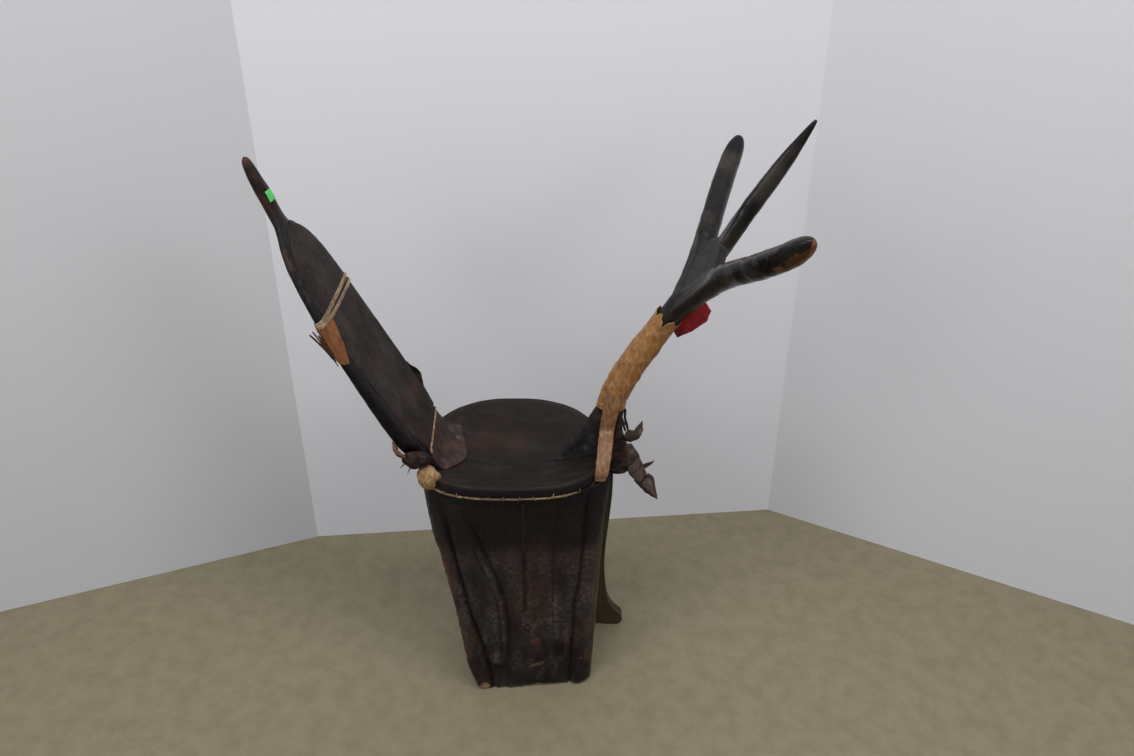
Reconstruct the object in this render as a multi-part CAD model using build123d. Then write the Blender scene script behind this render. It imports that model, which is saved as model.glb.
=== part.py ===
from build123d import *
import os
from math import asin, cos, degrees, pi, radians, sin, sqrt

# Camel saddle: a dished seat on a narrow lashed frame, with a leaf-shaped back board (the cantle)
# behind it and a three-pronged pommel in front. Millimetres. X runs forward to the pommel, Y to the
# rider's left and Z up from the floor. The origin is on the floor, under the middle of the saddle.

# ---- seat
SEAT_CENTRE_X = -29
SEAT_LENGTH = 280
SEAT_WIDTH = 257
SEAT_SQUARENESS = 2.45     # exponent of the outline: 2 is an ellipse, more is squarer
RIM_Z = 455                # top of the rim at the two sides
RIM_END_DROP = 9           # how much lower the rim is at the front and back
DISH_DEPTH = 45            # from the side rim down to the crease between the boards
CREASE_SHARE = 0.2         # part of the dish that is a straight V, the rest is a bowl
SEAT_HIDE = 2
SEAT_BOARD = 13
RIM_LIP = 17               # height of the hide that is turned down over the rim
CORD = 5                   # rawhide cord under the lip

# ---- frame under the seat
FRAME_Z = 385              # underside of the rails and cross bars
RAIL_WIDE = 18
RAIL_IN = 45               # inner face of a rail from the middle plane
LEG_DEEP = 18              # leg thickness, sideways
LEG_WIDE = 24              # leg width, front to back
CROSS_BAR_WIDE = 20
CROSS_BAR_TALL = 25
ARM_DEEP = 14              # side arms: thickness, sideways
ARM_CLEAR = 1              # side arms: gap to the hide of the skirt
PEG = 4                    # radius of the pegs that pin the legs to the cross bars
PEG_LONG = 34
PEG_PLAY = 0.1
REAR_LEG_TOP_X = -146
REAR_LEG_FOOT_X = -83
FRONT_LEG_TOP_X = 104
FRONT_LEG_FOOT_X = 82
REAR_LEG_OUT = (70, 66)    # outer face from the middle plane, at the top and at the floor
FRONT_LEG_OUT_RIGHT = (60, 50)
FRONT_LEG_OUT_LEFT = (60, 96)
FLARED_TOE_X = 154         # the left front foot turns up into a toe

# ---- skirts
SKIRT = 4
SKIRT_TOP_OUT = 124        # outer face at mid length, under the rim
SKIRT_REAR_OUT = 74        # outer face at the floor, rear corner
SKIRT_FRONT_OUT_RIGHT = 56
SKIRT_FRONT_OUT_LEFT = 103
SKIRT_FLOOR_BULGE = 4
STRIP = 1.5                # strip sewn down the middle of the right skirt
TRIM_GAP = 0.6             # between a skirt and what is sewn on it

# ---- cantle
CANTLE_LEAN = 28.15        # degrees back from upright
CANTLE_FOOT = (-132.8, 440)    # x and z of the front face where it meets the seat
CANTLE_LEAF = 411          # length of the leaf, from the foot to the neck of the finial
FINIAL_TIP = 509
CANTLE_THICK_FOOT = 33
CANTLE_THICK_NECK = 12
CANTLE_EDGE = 4            # leather round the edge
CANTLE_FACE = 2            # leather on the face and the back
EDGE_LIP = 1               # how far the rolled edge stands above the face
EDGE_LIP_WIDE = 4

# ---- pommel
FORK_LEAN = 32.1           # degrees forward from upright
FORK_BASE = (197.2, -5, 664.6)
MIDDLE_PRONG = 325
SIDE_PRONG = (231, 230)    # tip of a side prong: up the fork, and out from its middle
PALM = 18                  # thickness of the flat palm where the prongs part
NECK_WIDE = 37
NECK_DEEP = 30
WRAP = 2
STAY_WIDE = 22
STAY = 3

os.makedirs("parts", exist_ok=True)


def write(name, shape):
    export_step(shape, f"parts/{name}.step")


def largest(shape):
    """The largest solid of a shape, without the crumbs that a cut leaves."""
    return max(shape.solids(), key=lambda solid: solid.volume)


def side_plate(points, y_low, y_high):
    """A plate with the given X, Z outline, from y_low to y_high."""
    corners = [Vector(x, y_low, z) for x, z in points]
    face = make_face(Polyline(*corners, close=True))
    return extrude(face, amount=y_high - y_low, dir=(0, 1, 0))


def half_space(side):
    """A block that holds everything on one side of the middle plane: -1 right, 1 left."""
    return Pos(0, side * 500, 500) * Box(2000, 1000, 2000)


# ============================================================ seat: two boards, two hides, two cords
def seat_reach(angle, inset):
    """Distance from the seat's centre to its outline, in the direction of angle."""
    a, b = SEAT_LENGTH / 2 - inset, SEAT_WIDTH / 2 - inset
    n = SEAT_SQUARENESS
    return (abs(cos(angle) / a) ** n + abs(sin(angle) / b) ** n) ** (-1 / n)


def seat_prism(inset):
    """The seat's outline, drawn in by inset, as a tall prism."""
    count = 36
    points = []
    for k in range(count):
        angle = 2 * pi * k / count
        reach = seat_reach(angle, inset)
        points.append(Vector(SEAT_CENTRE_X + reach * cos(angle), reach * sin(angle), 300))
    return extrude(make_face(Spline(*points, periodic=True)), amount=260, dir=(0, 0, 1))


def seat_height(x, y):
    """Height of the seat's upper surface."""
    u = abs(x - SEAT_CENTRE_X) / (SEAT_LENGTH / 2)
    v = abs(y) / (SEAT_WIDTH / 2)
    bowl = (u ** SEAT_SQUARENESS + v ** SEAT_SQUARENESS) ** (2 / SEAT_SQUARENESS)
    rise = DISH_DEPTH - RIM_END_DROP * u * u
    return RIM_Z - DISH_DEPTH + rise * ((1 - CREASE_SHARE) * bowl + CREASE_SHARE * v)


def seat_slab(side, below, thick):
    """A curved slab on one side, `below` under the seat's surface and `thick` tall."""
    steps_x, steps_y = 14, 8
    rows = []
    for i in range(steps_x + 1):
        x = SEAT_CENTRE_X + (i / steps_x - 0.5) * (SEAT_LENGTH + 24)
        rows.append([
            Vector(x, side * j / steps_y * (SEAT_WIDTH / 2 + 12),
                   seat_height(x, j / steps_y * (SEAT_WIDTH / 2 + 12)) - below)
            for j in range(steps_y + 1)
        ])
    return extrude(Face.make_surface_from_array_of_points(rows), amount=-thick, dir=(0, 0, 1))


SIDES = {"right": -1, "left": 1}
outer_prism = seat_prism(0)
board_prism = seat_prism(SEAT_HIDE)
cord_prism = seat_prism(CORD)
seat_envelope = {}

for name, side in SIDES.items():
    lip = seat_slab(side, 0, RIM_LIP) & outer_prism
    core = seat_slab(side, SEAT_HIDE, RIM_LIP + 10) & board_prism
    write(f"seat_hide_{name}", lip - core)
    write(f"seat_board_{name}", seat_slab(side, SEAT_HIDE, SEAT_BOARD) & board_prism)
    cord = seat_slab(side, RIM_LIP, CORD) & (outer_prism - cord_prism)
    clear_of_ends = Pos(SEAT_CENTRE_X + 13, 0, 400) * Box(SEAT_LENGTH - 58, 400, 300)
    write(f"rim_cord_{name}", cord & clear_of_ends)
    above = seat_slab(side, -60, 60 + SEAT_HIDE + SEAT_BOARD) & board_prism
    rim = seat_slab(side, -60, 60 + RIM_LIP + CORD) & (outer_prism - cord_prism)
    seat_envelope[name] = above + rim


# ============================================================ skirts: shape of the hanging hides
def skirt_out(side, x, z):
    """How far the outer face of a skirt stands from the middle plane."""
    if x < SEAT_CENTRE_X:
        top = SKIRT_TOP_OUT - 61 * ((SEAT_CENTRE_X - x) / 129) ** 3.2
    else:
        top = SKIRT_TOP_OUT - 62 * ((x - SEAT_CENTRE_X) / 150) ** 2.5
    front = SKIRT_FRONT_OUT_RIGHT if side < 0 else SKIRT_FRONT_OUT_LEFT
    along = (x + 97) / 190
    floor = SKIRT_REAR_OUT + (front - SKIRT_REAR_OUT) * along
    floor += SKIRT_FLOOR_BULGE * (1 - (2 * along - 1) ** 2)
    t = z / 432
    return floor + (top - floor) * (0.55 * t + 0.45 * t ** 3)


def skirt_layer(side, inward, thick):
    """A curved sheet along a skirt: its outer face is `inward` of the skirt's, and it is `thick`."""
    steps_x, steps_z = 10, 10
    rows = []
    for i in range(steps_x + 1):
        x = -172 + 302 * i / steps_x
        rows.append([
            Vector(x, side * (skirt_out(side, x, -6 + 462 * k / steps_z) - inward), -6 + 462 * k / steps_z)
            for k in range(steps_z + 1)
        ])
    face = Face.make_surface_from_array_of_points(rows)
    return extrude(face, amount=-side * thick, dir=(0, 1, 0))


# ============================================================ legs, rails, cross bars and side arms
def leg(side, top_x, foot_x, out_top, out_foot):
    """A straight leg that ends flat on the floor."""
    sections = []
    for x, out, z in ((foot_x, out_foot, 0), (top_x, out_top, 440)):
        middle = Plane(origin=(x, side * (out - LEG_DEEP / 2), z), x_dir=(1, 0, 0), z_dir=(0, 0, 1))
        sections.append(middle * RectangleRounded(LEG_WIDE, LEG_DEEP, 4))
    return loft(sections)


def flared_leg(side, out_top, out_foot):
    """The left front leg: upright, then swept forward into an upturned toe."""
    rear_top = (FRONT_LEG_TOP_X - LEG_WIDE / 2, 440)
    front_top = (FRONT_LEG_TOP_X + LEG_WIDE / 2, 440)
    front = Spline((*front_top,), (119, 162), (122, 99), (132, 51), (FLARED_TOE_X - 5, 27))
    toe = ThreePointArc((FLARED_TOE_X - 5, 27), (FLARED_TOE_X, 14), (FLARED_TOE_X - 10, 0))
    sole = Polyline((FLARED_TOE_X - 10, 0), (122, 0))
    arch = ThreePointArc((122, 0), (112, 7), (102, 0))
    heel = Polyline((102, 0), (90, 0), (96, 60), (96, 162), rear_top, front_top)
    outline = make_face([*front.edges(), *toe.edges(), *sole.edges(), *arch.edges(), *heel.edges()])
    lean = degrees(asin((out_foot - out_top) / 440))
    at_foot = side * (out_foot - LEG_DEEP / 2)
    upright = extrude(Plane.XZ * outline, amount=LEG_DEEP / 2, both=True)
    tilted = Pos(0, at_foot, 0) * Rot(lean * side, 0, 0) * upright
    return tilted & (Pos(0, 0, 500) * Box(2000, 2000, 1000))


legs = {
    "leg_rear_right": leg(-1, REAR_LEG_TOP_X, REAR_LEG_FOOT_X, *REAR_LEG_OUT),
    "leg_rear_left": leg(1, REAR_LEG_TOP_X, REAR_LEG_FOOT_X, *REAR_LEG_OUT),
    "leg_front_right": leg(-1, FRONT_LEG_TOP_X, FRONT_LEG_FOOT_X, *FRONT_LEG_OUT_RIGHT),
    "leg_front_left": flared_leg(1, *FRONT_LEG_OUT_LEFT),
}
LEG_TOP_OUT = {
    "leg_rear_right": REAR_LEG_OUT[0],
    "leg_rear_left": REAR_LEG_OUT[0],
    "leg_front_right": FRONT_LEG_OUT_RIGHT[0],
    "leg_front_left": FRONT_LEG_OUT_LEFT[0],
}
CROSS_BARS = {"rear": REAR_LEG_TOP_X + 4, "front": FRONT_LEG_TOP_X - 1}


def peg(name, radius):
    """The peg that goes through a leg's top into the end of its cross bar."""
    _, end, hand = name.split("_")
    middle = SIDES[hand] * (LEG_TOP_OUT[name] - 2 - PEG_LONG / 2)
    place = Pos(CROSS_BARS[end], middle, FRAME_Z + CROSS_BAR_TALL / 2) * Rot(90, 0, 0)
    return place * Cylinder(radius, PEG_LONG)


holes = {name: peg(name, PEG + PEG_PLAY) for name in legs}
for name in legs:
    legs[name] = largest(legs[name] - seat_envelope[name.split("_")[2]] - holes[name])
    write(name, legs[name])
    write(name.replace("leg", "peg"), peg(name, PEG))


def cut_by(shape, others):
    """The shape without what the others fill."""
    for other in others:
        shape = shape - other
    return shape


rails = {}
for name, side in SIDES.items():
    length = FRONT_LEG_TOP_X - REAR_LEG_TOP_X
    middle_x = (FRONT_LEG_TOP_X + REAR_LEG_TOP_X) / 2
    blank = Pos(middle_x, side * (RAIL_IN + RAIL_WIDE / 2), FRAME_Z + 30) * Box(length, RAIL_WIDE, 60)
    rails[name] = largest(cut_by(blank, [seat_envelope[name], *legs.values(), *holes.values()]))
    write(f"side_rail_{name}", rails[name])

cross_bars = {}
for name, x in CROSS_BARS.items():
    blank = Pos(x, 0, FRAME_Z + CROSS_BAR_TALL / 2) * Box(CROSS_BAR_WIDE, 2 * RAIL_IN + 30, CROSS_BAR_TALL)
    cross_bars[name] = largest(cut_by(blank, [*legs.values(), *rails.values(), *holes.values()]))
    write(f"cross_bar_{name}", cross_bars[name])


def side_arm(side, top_x, foot_x, foot_z):
    """A paddle just inside a skirt, from the seat's rim down to a rounded end above the floor."""
    sections = []
    for share, width in ((0, 16), (0.03, 30), (0.25, 34), (0.6, 28), (1, 26)):
        x = foot_x + (top_x - foot_x) * share
        z = foot_z + (440 - foot_z) * share
        slope = (skirt_out(side, x + width / 2, z) - skirt_out(side, x - width / 2, z)) / width
        out = skirt_out(side, x, z) - (SKIRT + ARM_CLEAR + ARM_DEEP / 2) * sqrt(1 + slope ** 2)
        place = Plane(origin=(x, side * out, z), x_dir=(1, side * slope, 0), z_dir=(0, 0, 1))
        sections.append(place * RectangleRounded(width, ARM_DEEP, 5))
    return largest(loft(sections, ruled=True) - seat_envelope["right" if side < 0 else "left"])


arms = {}
for name, side in SIDES.items():
    arms[f"side_arm_rear_{name}"] = side_arm(side, -119, -60, 62)
    arms[f"side_arm_front_{name}"] = side_arm(side, 62, 45, 80)
for name, shape in arms.items():
    write(name, shape)


# ============================================================ skirts, the centre strip and its knot
# Heights and, at each, how far forward the edge is. For the hem, the share of the way forward and
# its height there.
REAR_EDGE = [(0, -96), (50, -110), (180, -122), (305, -141), (334, -150), (405, -159), (440, -164)]
FRONT_EDGE = {
    "right": [(0, 92), (121, 93), (176, 97), (244, 100), (310, 105), (355, 110), (444, 121)],
    "left": [(0, 94), (60, 98), (162, 104), (244, 105), (310, 108), (355, 111), (444, 121)],
}
HEM = [(0, 3), (0.1, 1), (0.18, 2), (0.37, 3), (0.53, 7), (0.66, 5), (0.77, 3), (0.9, 5), (1, 9)]


def between(pairs, at):
    """The value at a place, read off straight runs between the (place, value) pairs."""
    for (low, first), (high, second) in zip(pairs, pairs[1:]):
        if at <= high:
            return first + (second - first) * (at - low) / (high - low)
    return pairs[-1][1]


def skirt(name, side):
    """One hanging hide: from the hem to just under the cord of the rim."""
    steps_along, steps_up = 14, 14
    rows = []
    for i in range(steps_along + 1):
        along = i / steps_along
        row = []
        for k in range(steps_up + 1):
            z = 428 * k / steps_up
            x = between(REAR_EDGE, z) + along * (between(FRONT_EDGE[name], z) - between(REAR_EDGE, z))
            top = seat_height(x, skirt_out(side, x, 432)) - RIM_LIP - CORD - 2.5
            z = between(HEM, along) + (top - between(HEM, along)) * k / steps_up
            row.append(Vector(x, side * skirt_out(side, x, z), z))
        rows.append(row)
    return extrude(Face.make_surface_from_array_of_points(rows), amount=-side * SKIRT, dir=(0, 1, 0))


skirts = {}
for name, side in SIDES.items():
    skirts[name] = skirt(name, side)
    write(f"skirt_{name}", skirts[name])

STRIP_TOP, STRIP_FOOT = 423, 187
strip_outline = side_plate(
    [(-14, STRIP_TOP), (-8, STRIP_TOP), (-10, STRIP_FOOT), (-15, STRIP_FOOT)], -200, 0
)
write("skirt_strip", skirt_layer(-1, -STRIP - TRIM_GAP, STRIP) & strip_outline)
KNOT_X, KNOT_Z = -9, 158
knot_out = skirt_out(-1, KNOT_X, KNOT_Z)
knot = Pos(KNOT_X, -knot_out, KNOT_Z) * scale(Sphere(9), by=(1, 0.6, 1.1))
tail = side_plate([(-6, 166), (-1, 164), (0, 186), (-4, 187)], -200, 0)
write("skirt_knot", largest(knot - skirt_layer(-1, -TRIM_GAP, 20)))
write("skirt_knot_tail", (skirt_layer(-1, -STRIP - TRIM_GAP, STRIP) & tail) - knot)

# ============================================================ cantle: board, leathers, band, patch
SEAT_TOP = [seat_slab(side, 0, 80) & outer_prism for side in (-1, 1)]
lean = radians(CANTLE_LEAN)
cantle_plane = Plane(
    origin=(CANTLE_FOOT[0], 0, CANTLE_FOOT[1]), x_dir=(0, 1, 0), z_dir=(cos(lean), 0, sin(lean))
)
LEAF = [(-12, 56), (36, 66), (70, 80), (110, 84), (177, 84), (250, 81), (320, 73),
        (360, 63), (388, 48), (402, 31), (411, 20)]      # up the leaf, and half its width there


def leaf(inset, level):
    """The leaf's outline, drawn in at its sides, at a level in front of the board's face plane."""
    left_side = [(half - inset, up) for up, half in LEAF]
    right_side = [(inset - half, up) for up, half in LEAF]
    outline = [
        Spline(*left_side),
        Line(left_side[-1], right_side[-1]),
        Spline(*right_side),
        Line(right_side[0], left_side[0]),
    ]
    return cantle_plane.offset(level) * make_face(outline)


def on_cantle(up, front):
    """X and Z of a point that is `up` the cantle and `front` of its face plane."""
    return (
        CANTLE_FOOT[0] - up * sin(lean) + front * cos(lean),
        CANTLE_FOOT[1] + up * cos(lean) + front * sin(lean),
    )


def behind_cantle(skin):
    """All that lies behind the back of the board, where `skin` is the leather on that back."""
    foot_up, neck_up = -60, 440
    slope = (CANTLE_THICK_FOOT - CANTLE_THICK_NECK) / CANTLE_LEAF
    back_foot = on_cantle(foot_up, skin - CANTLE_THICK_FOOT + slope * foot_up)
    back_neck = on_cantle(neck_up, skin - CANTLE_THICK_FOOT + slope * neck_up)
    return side_plate([back_foot, back_neck, on_cantle(neck_up, -120), on_cantle(foot_up, -120)], -200, 200)


def cantle_layer(inset, front, skin):
    """The leaf from a level in front of the face plane to the back."""
    return extrude(leaf(inset, front), amount=-100) - behind_cantle(skin)


# Up the cantle, front of its face plane, half width, half depth.
FINIAL = [(398, -6, 20, 5), (411, -5, 16, 7), (430, -3, 12.5, 9), (460, 1, 11.5, 9.5), (488, 4, 9, 8),
          (503, 6, 6, 5.5), (FINIAL_TIP, 7, 2.5, 2.5)]


def finial(extra):
    """The handle above the leaf: lofted ovals, each `extra` larger all round."""
    sections = []
    for up, front, half_wide, half_deep in FINIAL:
        x, z = on_cantle(up, front)
        place = Plane(origin=(x, 0, z), x_dir=(0, 1, 0), z_dir=(-sin(lean), 0, cos(lean)))
        sections.append(place * Ellipse(half_wide + extra, half_deep + extra))
    return loft(sections)


board = cantle_layer(CANTLE_EDGE, -CANTLE_FACE, CANTLE_FACE)
back = cantle_layer(CANTLE_EDGE, -CANTLE_FACE, 0) - board
face = cantle_layer(CANTLE_EDGE, 0, 0) - cantle_layer(CANTLE_EDGE, -CANTLE_FACE, 0)
handle = finial(0)
cantle_board = cut_by(board + handle, SEAT_TOP)
edge = cantle_layer(0, EDGE_LIP, 0) - cantle_layer(CANTLE_EDGE, 0, 0)
edge = edge - (extrude(leaf(CANTLE_EDGE + EDGE_LIP_WIDE, EDGE_LIP + 1), amount=-EDGE_LIP - 1)) - handle
cantle_face = largest(cut_by(face, [*SEAT_TOP, handle]))
cantle_back = largest(cut_by(back, [*SEAT_TOP, handle]))
write("cantle_board", cantle_board)
write("cantle_face_hide", cantle_face)
write("cantle_back_hide", cantle_back)
cantle_edges = {}
for name, side in SIDES.items():
    cantle_edges[name] = largest(cut_by(edge & half_space(side), SEAT_TOP))
    write(f"cantle_edge_{name}", cantle_edges[name])

all_cantle = [cantle_board, cantle_face, cantle_back, *cantle_edges.values()]

BAND_UP, BAND_WIDE, BAND = 285, 9, 2.5
half_band = 80
cantle_taper = (CANTLE_THICK_FOOT - CANTLE_THICK_NECK) / CANTLE_LEAF
band_middle = (EDGE_LIP - CANTLE_THICK_FOOT + BAND_UP * cantle_taper) / 2
band_deep = 2 * (EDGE_LIP - band_middle) + 0.6
band_place = cantle_plane.location * Pos(0, BAND_UP, band_middle)
strand = Box(2 * (half_band + BAND), BAND_WIDE / 2 - 0.5, band_deep + 2 * BAND)
strand = strand - Box(2 * half_band, BAND_WIDE, band_deep)
band = band_place * (Pos(0, BAND_WIDE / 4, 0) * strand + Pos(0, -BAND_WIDE / 4, 0) * strand)
write("cantle_band", band)

# Torn leather that hangs from the band, over the right edge of the cantle.
PATCH = 2
patch_front = Polyline((-62, 279), (-72, 256), (-80, 240), (-87, 237), (-87, 279), close=True)
patch_face = extrude(cantle_plane.offset(EDGE_LIP) * make_face(patch_front), amount=PATCH)
patch_side = [(279, EDGE_LIP + PATCH), (237, EDGE_LIP + PATCH), (240, -8), (258, -20), (279, -20)]
patch = patch_face + side_plate([on_cantle(*corner) for corner in patch_side], -87, -85)
write("cantle_patch", cut_by(patch, all_cantle))
flap_side = [(284, -14), (276, 2), (240, -4), (229, -12), (233, -20), (262, -24)]
write("cantle_torn_flap", side_plate([on_cantle(*corner) for corner in flap_side], -90, -87.5))

sticker_zone = cantle_plane.location * Pos(6, 450, 9) * Box(10, 17, 14)
write("sticker", (finial(0.5) - finial(0)) & sticker_zone)

# Leather-covered wedge that fills the corner between the cantle and the seat.
TONGUE_RIGHT, TONGUE_LEFT = -52, 64
tongue_outline = [(-150, 474), (-146, 474), (-103, 422), (-101, 405), (-160, 405)]
tongue = side_plate(tongue_outline, TONGUE_RIGHT, TONGUE_LEFT)
trimmed_corner = Pos(-92, -52, 450) * Rot(0, 0, 52) * Box(90, 46, 200)
tongue = largest(cut_by(tongue, [*SEAT_TOP, *all_cantle, trimmed_corner]))
write("cantle_tongue", tongue)

# ============================================================ pommel: fork, foot, fin, wrap, straps
fork_lean = radians(FORK_LEAN)
fork_plane = Plane(origin=FORK_BASE, x_dir=(0, 1, 0), z_dir=(cos(fork_lean), 0, -sin(fork_lean)))


def rod(points, radii):
    """A round bar through the points, with a radius at each."""
    sections = []
    for i, point in enumerate(points):
        before, after = points[max(i - 1, 0)], points[min(i + 1, len(points) - 1)]
        sections.append(Plane(origin=point, z_dir=after - before) * Circle(radii[i]))
    return loft(sections)


def on_fork(out, up):
    """A point in the fork's plane: out from its middle prong, and up from its base."""
    return fork_plane.from_local_coords(Vector(out, up, 0))


# Up the fork and radius there; for a side prong also how far out, first.
MIDDLE = [(30, 14), (70, 14), (115, 13.5), (160, 12), (205, 11.2), (245, 10.4), (285, 8.2), (310, 5),
          (MIDDLE_PRONG, 2)]
middle_prong = rod([on_fork(0, up) for up, radius in MIDDLE], [radius for up, radius in MIDDLE])
up_tip, out_tip = SIDE_PRONG
PRONG_RISE = {-1: 1.03, 1: 0.965}      # the carver set the right prong a little higher than the left
SIDE_STATIONS = [(6, 20, 14), (24, 47, 15), (56, 87, 15.5), (91, 119, 15.5), (145, 155, 15.5),
                 (194, 193, 14), (out_tip - 11, up_tip - 11, 11.5), (out_tip - 3, up_tip - 3, 7),
                 (out_tip, up_tip, 2.5)]
side_prongs = [
    rod([on_fork(side * out, up * rise) for out, up, radius in SIDE_STATIONS],
        [radius for out, up, radius in SIDE_STATIONS])
    for side, rise in PRONG_RISE.items()
]
palm_half = [(20, -2), (30, 40), (58, 82), (86, 106), (66, 106), (44, 112), (26, 126)]
palm_outline = palm_half + [(-out, up) for out, up in reversed(palm_half)]
palm = extrude(fork_plane * make_face(Polyline(*palm_outline, close=True)), amount=PALM / 2, both=True)

NECK = [(119, -3, 516), (126, -3, 541), (143, -4, 577), (168, -4, 618), FORK_BASE, (206, -5, 679)]


def neck_bar(start, end, extra):
    """The neck as lofted ovals between two of its stations, each `extra` larger all round."""
    sections = []
    for i in range(start, end + 1):
        before, after = Vector(*NECK[max(i - 1, 0)]), Vector(*NECK[min(i + 1, len(NECK) - 1)])
        place = Plane(origin=NECK[i], x_dir=(0, 1, 0), z_dir=after - before)
        sections.append(place * Ellipse(NECK_DEEP / 2 + extra, NECK_WIDE / 2 + extra))
    return loft(sections)


fork = neck_bar(0, 5, 0) + middle_prong + side_prongs[0] + side_prongs[1] + palm
write("pommel_fork", fork)
wrap = largest(neck_bar(0, 4, WRAP) - fork)
write("neck_wrap", wrap)

FOOT_RIGHT, FOOT_LEFT = -17, 12
foot_outline = [(101, 523), (134, 520), (139, 469), (148, 444), (148, 402), (140, 396),
                (121, 396), (121, 411), (101, 411)]
foot = side_plate(foot_outline, FOOT_RIGHT, FOOT_LEFT)
foot = largest(cut_by(foot, [*SEAT_TOP, fork, wrap, *cross_bars.values()]))
write("pommel_foot", foot)
fin_wedge = Polyline((30, -2), (101, -13), (101, 9), close=True)
fin_plan = extrude(Plane.XY.offset(380) * make_face(fin_wedge), amount=200)
fin = side_plate([(30, 409), (68, 463), (101, 523), (101, 409)], -30, 30) & fin_plan
fin = largest(cut_by(fin, [*SEAT_TOP, fork, wrap]))
write("pommel_fin", fin)


def strap(points, wide, thick):
    """A flat strap through the points, its width lying along X."""
    sections = []
    for i, point in enumerate(points):
        before, after = points[max(i - 1, 0)], points[min(i + 1, len(points) - 1)]
        run = Vector(*after) - Vector(*before)
        across = Vector(1, 0, 0) - run * (run.X / run.dot(run))
        sections.append(Plane(origin=point, x_dir=across, z_dir=run) * Rectangle(wide, thick))
    return loft(sections, ruled=True)


STAY_RUN = [(115, -21, 517), (113.5, -24, 488), (109, -50, 473), (106.5, -70, 459), (104, -77, 441),
            (102, -77, 432)]
neighbours = [*SEAT_TOP, fork, wrap, foot, skirts["right"], skirts["left"], *legs.values()]
stays = {}
for name, side in SIDES.items():
    shift = 0 if side < 0 else -5
    route = [(x, side * -y + shift * (z > 480), z) for x, y, z in STAY_RUN]
    stays[name] = largest(cut_by(strap(route, STAY_WIDE, STAY), neighbours))
    write(f"neck_stay_{name}", stays[name])

# Red leather tab tied in at the top of the wrap.
tab_outline = [(211, 630), (206, 641), (219, 654), (235, 673), (250, 680), (256, 669), (250, 655),
               (231, 641)]
write("red_tab", largest(cut_by(side_plate(tab_outline, -9, -5), [fork, wrap])))

# Dried leather left at the front of the foot.
strands = (
    side_plate([(128, 519), (133, 519), (142, 476), (137, 476)], -8, -5)
    + side_plate([(134, 519), (138, 519), (146, 476), (143, 476)], -3, 0)
)
write("strap_ends", cut_by(strands, [fork, wrap, foot, stays["right"]]))
fold = side_plate([(140, 453), (152, 451), (163, 431), (146, 408), (133, 420)], -13, -3)
fold = largest(fold - foot)
write("hide_fold", fold)
flap = side_plate(
    [(138, 457), (145, 475), (155, 477), (166, 489), (169, 475), (161, 461), (149, 455)], -9, -6
)
write("hide_flap", largest(cut_by(flap, [fold, foot])))
cone = side_plate([(144, 409), (162, 430), (176, 398), (170, 380), (155, 392)], -12, -4)
cone = largest(cut_by(cone, [fold, foot]))
write("hide_cone", cone)
write("hide_barb", side_plate([(170, 405), (175, 417), (188, 414), (181, 405)], -4, -1.5))
tip = side_plate([(159, 384), (168, 380), (180, 396), (187, 390), (195, 350), (177, 361)], -10, -6)
write("hide_tip", tip - cone)

# ============================================================ rawhide lashings at the rear corners
LASHINGS = {
    "right": (Pos(-150, -88, 442) * scale(Sphere(1), by=(18, 12, 18))) - outer_prism,
    "left": (Pos(-150, 88, 431) * scale(Sphere(1), by=(16, 12, 13))) - outer_prism,
}
WADS = {
    "right": Pos(-168, -83.5, 476) * Rot(0, 35, 0) * scale(Sphere(1), by=(16, 8.5, 9)),
    "left": Pos(-176, 66, 457) * scale(Sphere(1), by=(9, 10, 9)),
}
for name in SIDES:
    write(f"lashing_rear_{name}", LASHINGS[name])
    write(f"cantle_wad_{name}", WADS[name])
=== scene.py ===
import math

import bmesh
import bpy
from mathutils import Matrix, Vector, noise


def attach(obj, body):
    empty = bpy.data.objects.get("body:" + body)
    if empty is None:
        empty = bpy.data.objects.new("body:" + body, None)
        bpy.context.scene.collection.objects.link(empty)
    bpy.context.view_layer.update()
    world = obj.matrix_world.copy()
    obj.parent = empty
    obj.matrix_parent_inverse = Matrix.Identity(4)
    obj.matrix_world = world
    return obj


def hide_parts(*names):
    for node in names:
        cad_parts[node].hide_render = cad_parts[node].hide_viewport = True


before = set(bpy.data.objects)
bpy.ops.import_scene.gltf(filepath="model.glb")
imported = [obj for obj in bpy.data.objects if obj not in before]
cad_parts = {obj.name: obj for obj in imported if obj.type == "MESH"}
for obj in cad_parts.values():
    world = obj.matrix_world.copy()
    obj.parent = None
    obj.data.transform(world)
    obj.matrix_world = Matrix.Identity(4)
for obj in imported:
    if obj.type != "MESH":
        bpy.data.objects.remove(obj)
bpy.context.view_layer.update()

MM = 0.001
HANDS = (("right", -1), ("left", 1))


# ---------------------------------------------------------------- wooden frame
# Four legs, two rails, two cross bars and four arms of hewn acacia, pegged together inside the
# hides. The wood is bare, dry and grey-brown, with a film of grime in patches.
def feed(tree, made, inputs):
    """Sets a node's inputs to values, or links them to other nodes' outputs."""
    for name, value in inputs.items():
        if isinstance(value, bpy.types.NodeSocket):
            tree.links.new(value, made.inputs[name])
        else:
            made.inputs[name].default_value = value
    return made


def put(tree, kind, inputs=None, **settings):
    """A shader node with its settings and inputs."""
    made = tree.nodes.new("ShaderNode" + kind)
    for name, value in settings.items():
        setattr(made, name, value)
    return feed(tree, made, inputs or {})


def tint(tree, share, first, second, way="MIX"):
    """The colour between two colours."""
    made = put(tree, "Mix", {0: share, 6: first, 7: second}, data_type="RGBA", blend_type=way)
    return made.outputs[2]


def reckon(tree, way, first, second=0.0, clamp=False):
    """One step of arithmetic on a value."""
    made = put(tree, "Math", {0: first, 1: second}, operation=way, use_clamp=clamp)
    return made.outputs[0]


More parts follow.
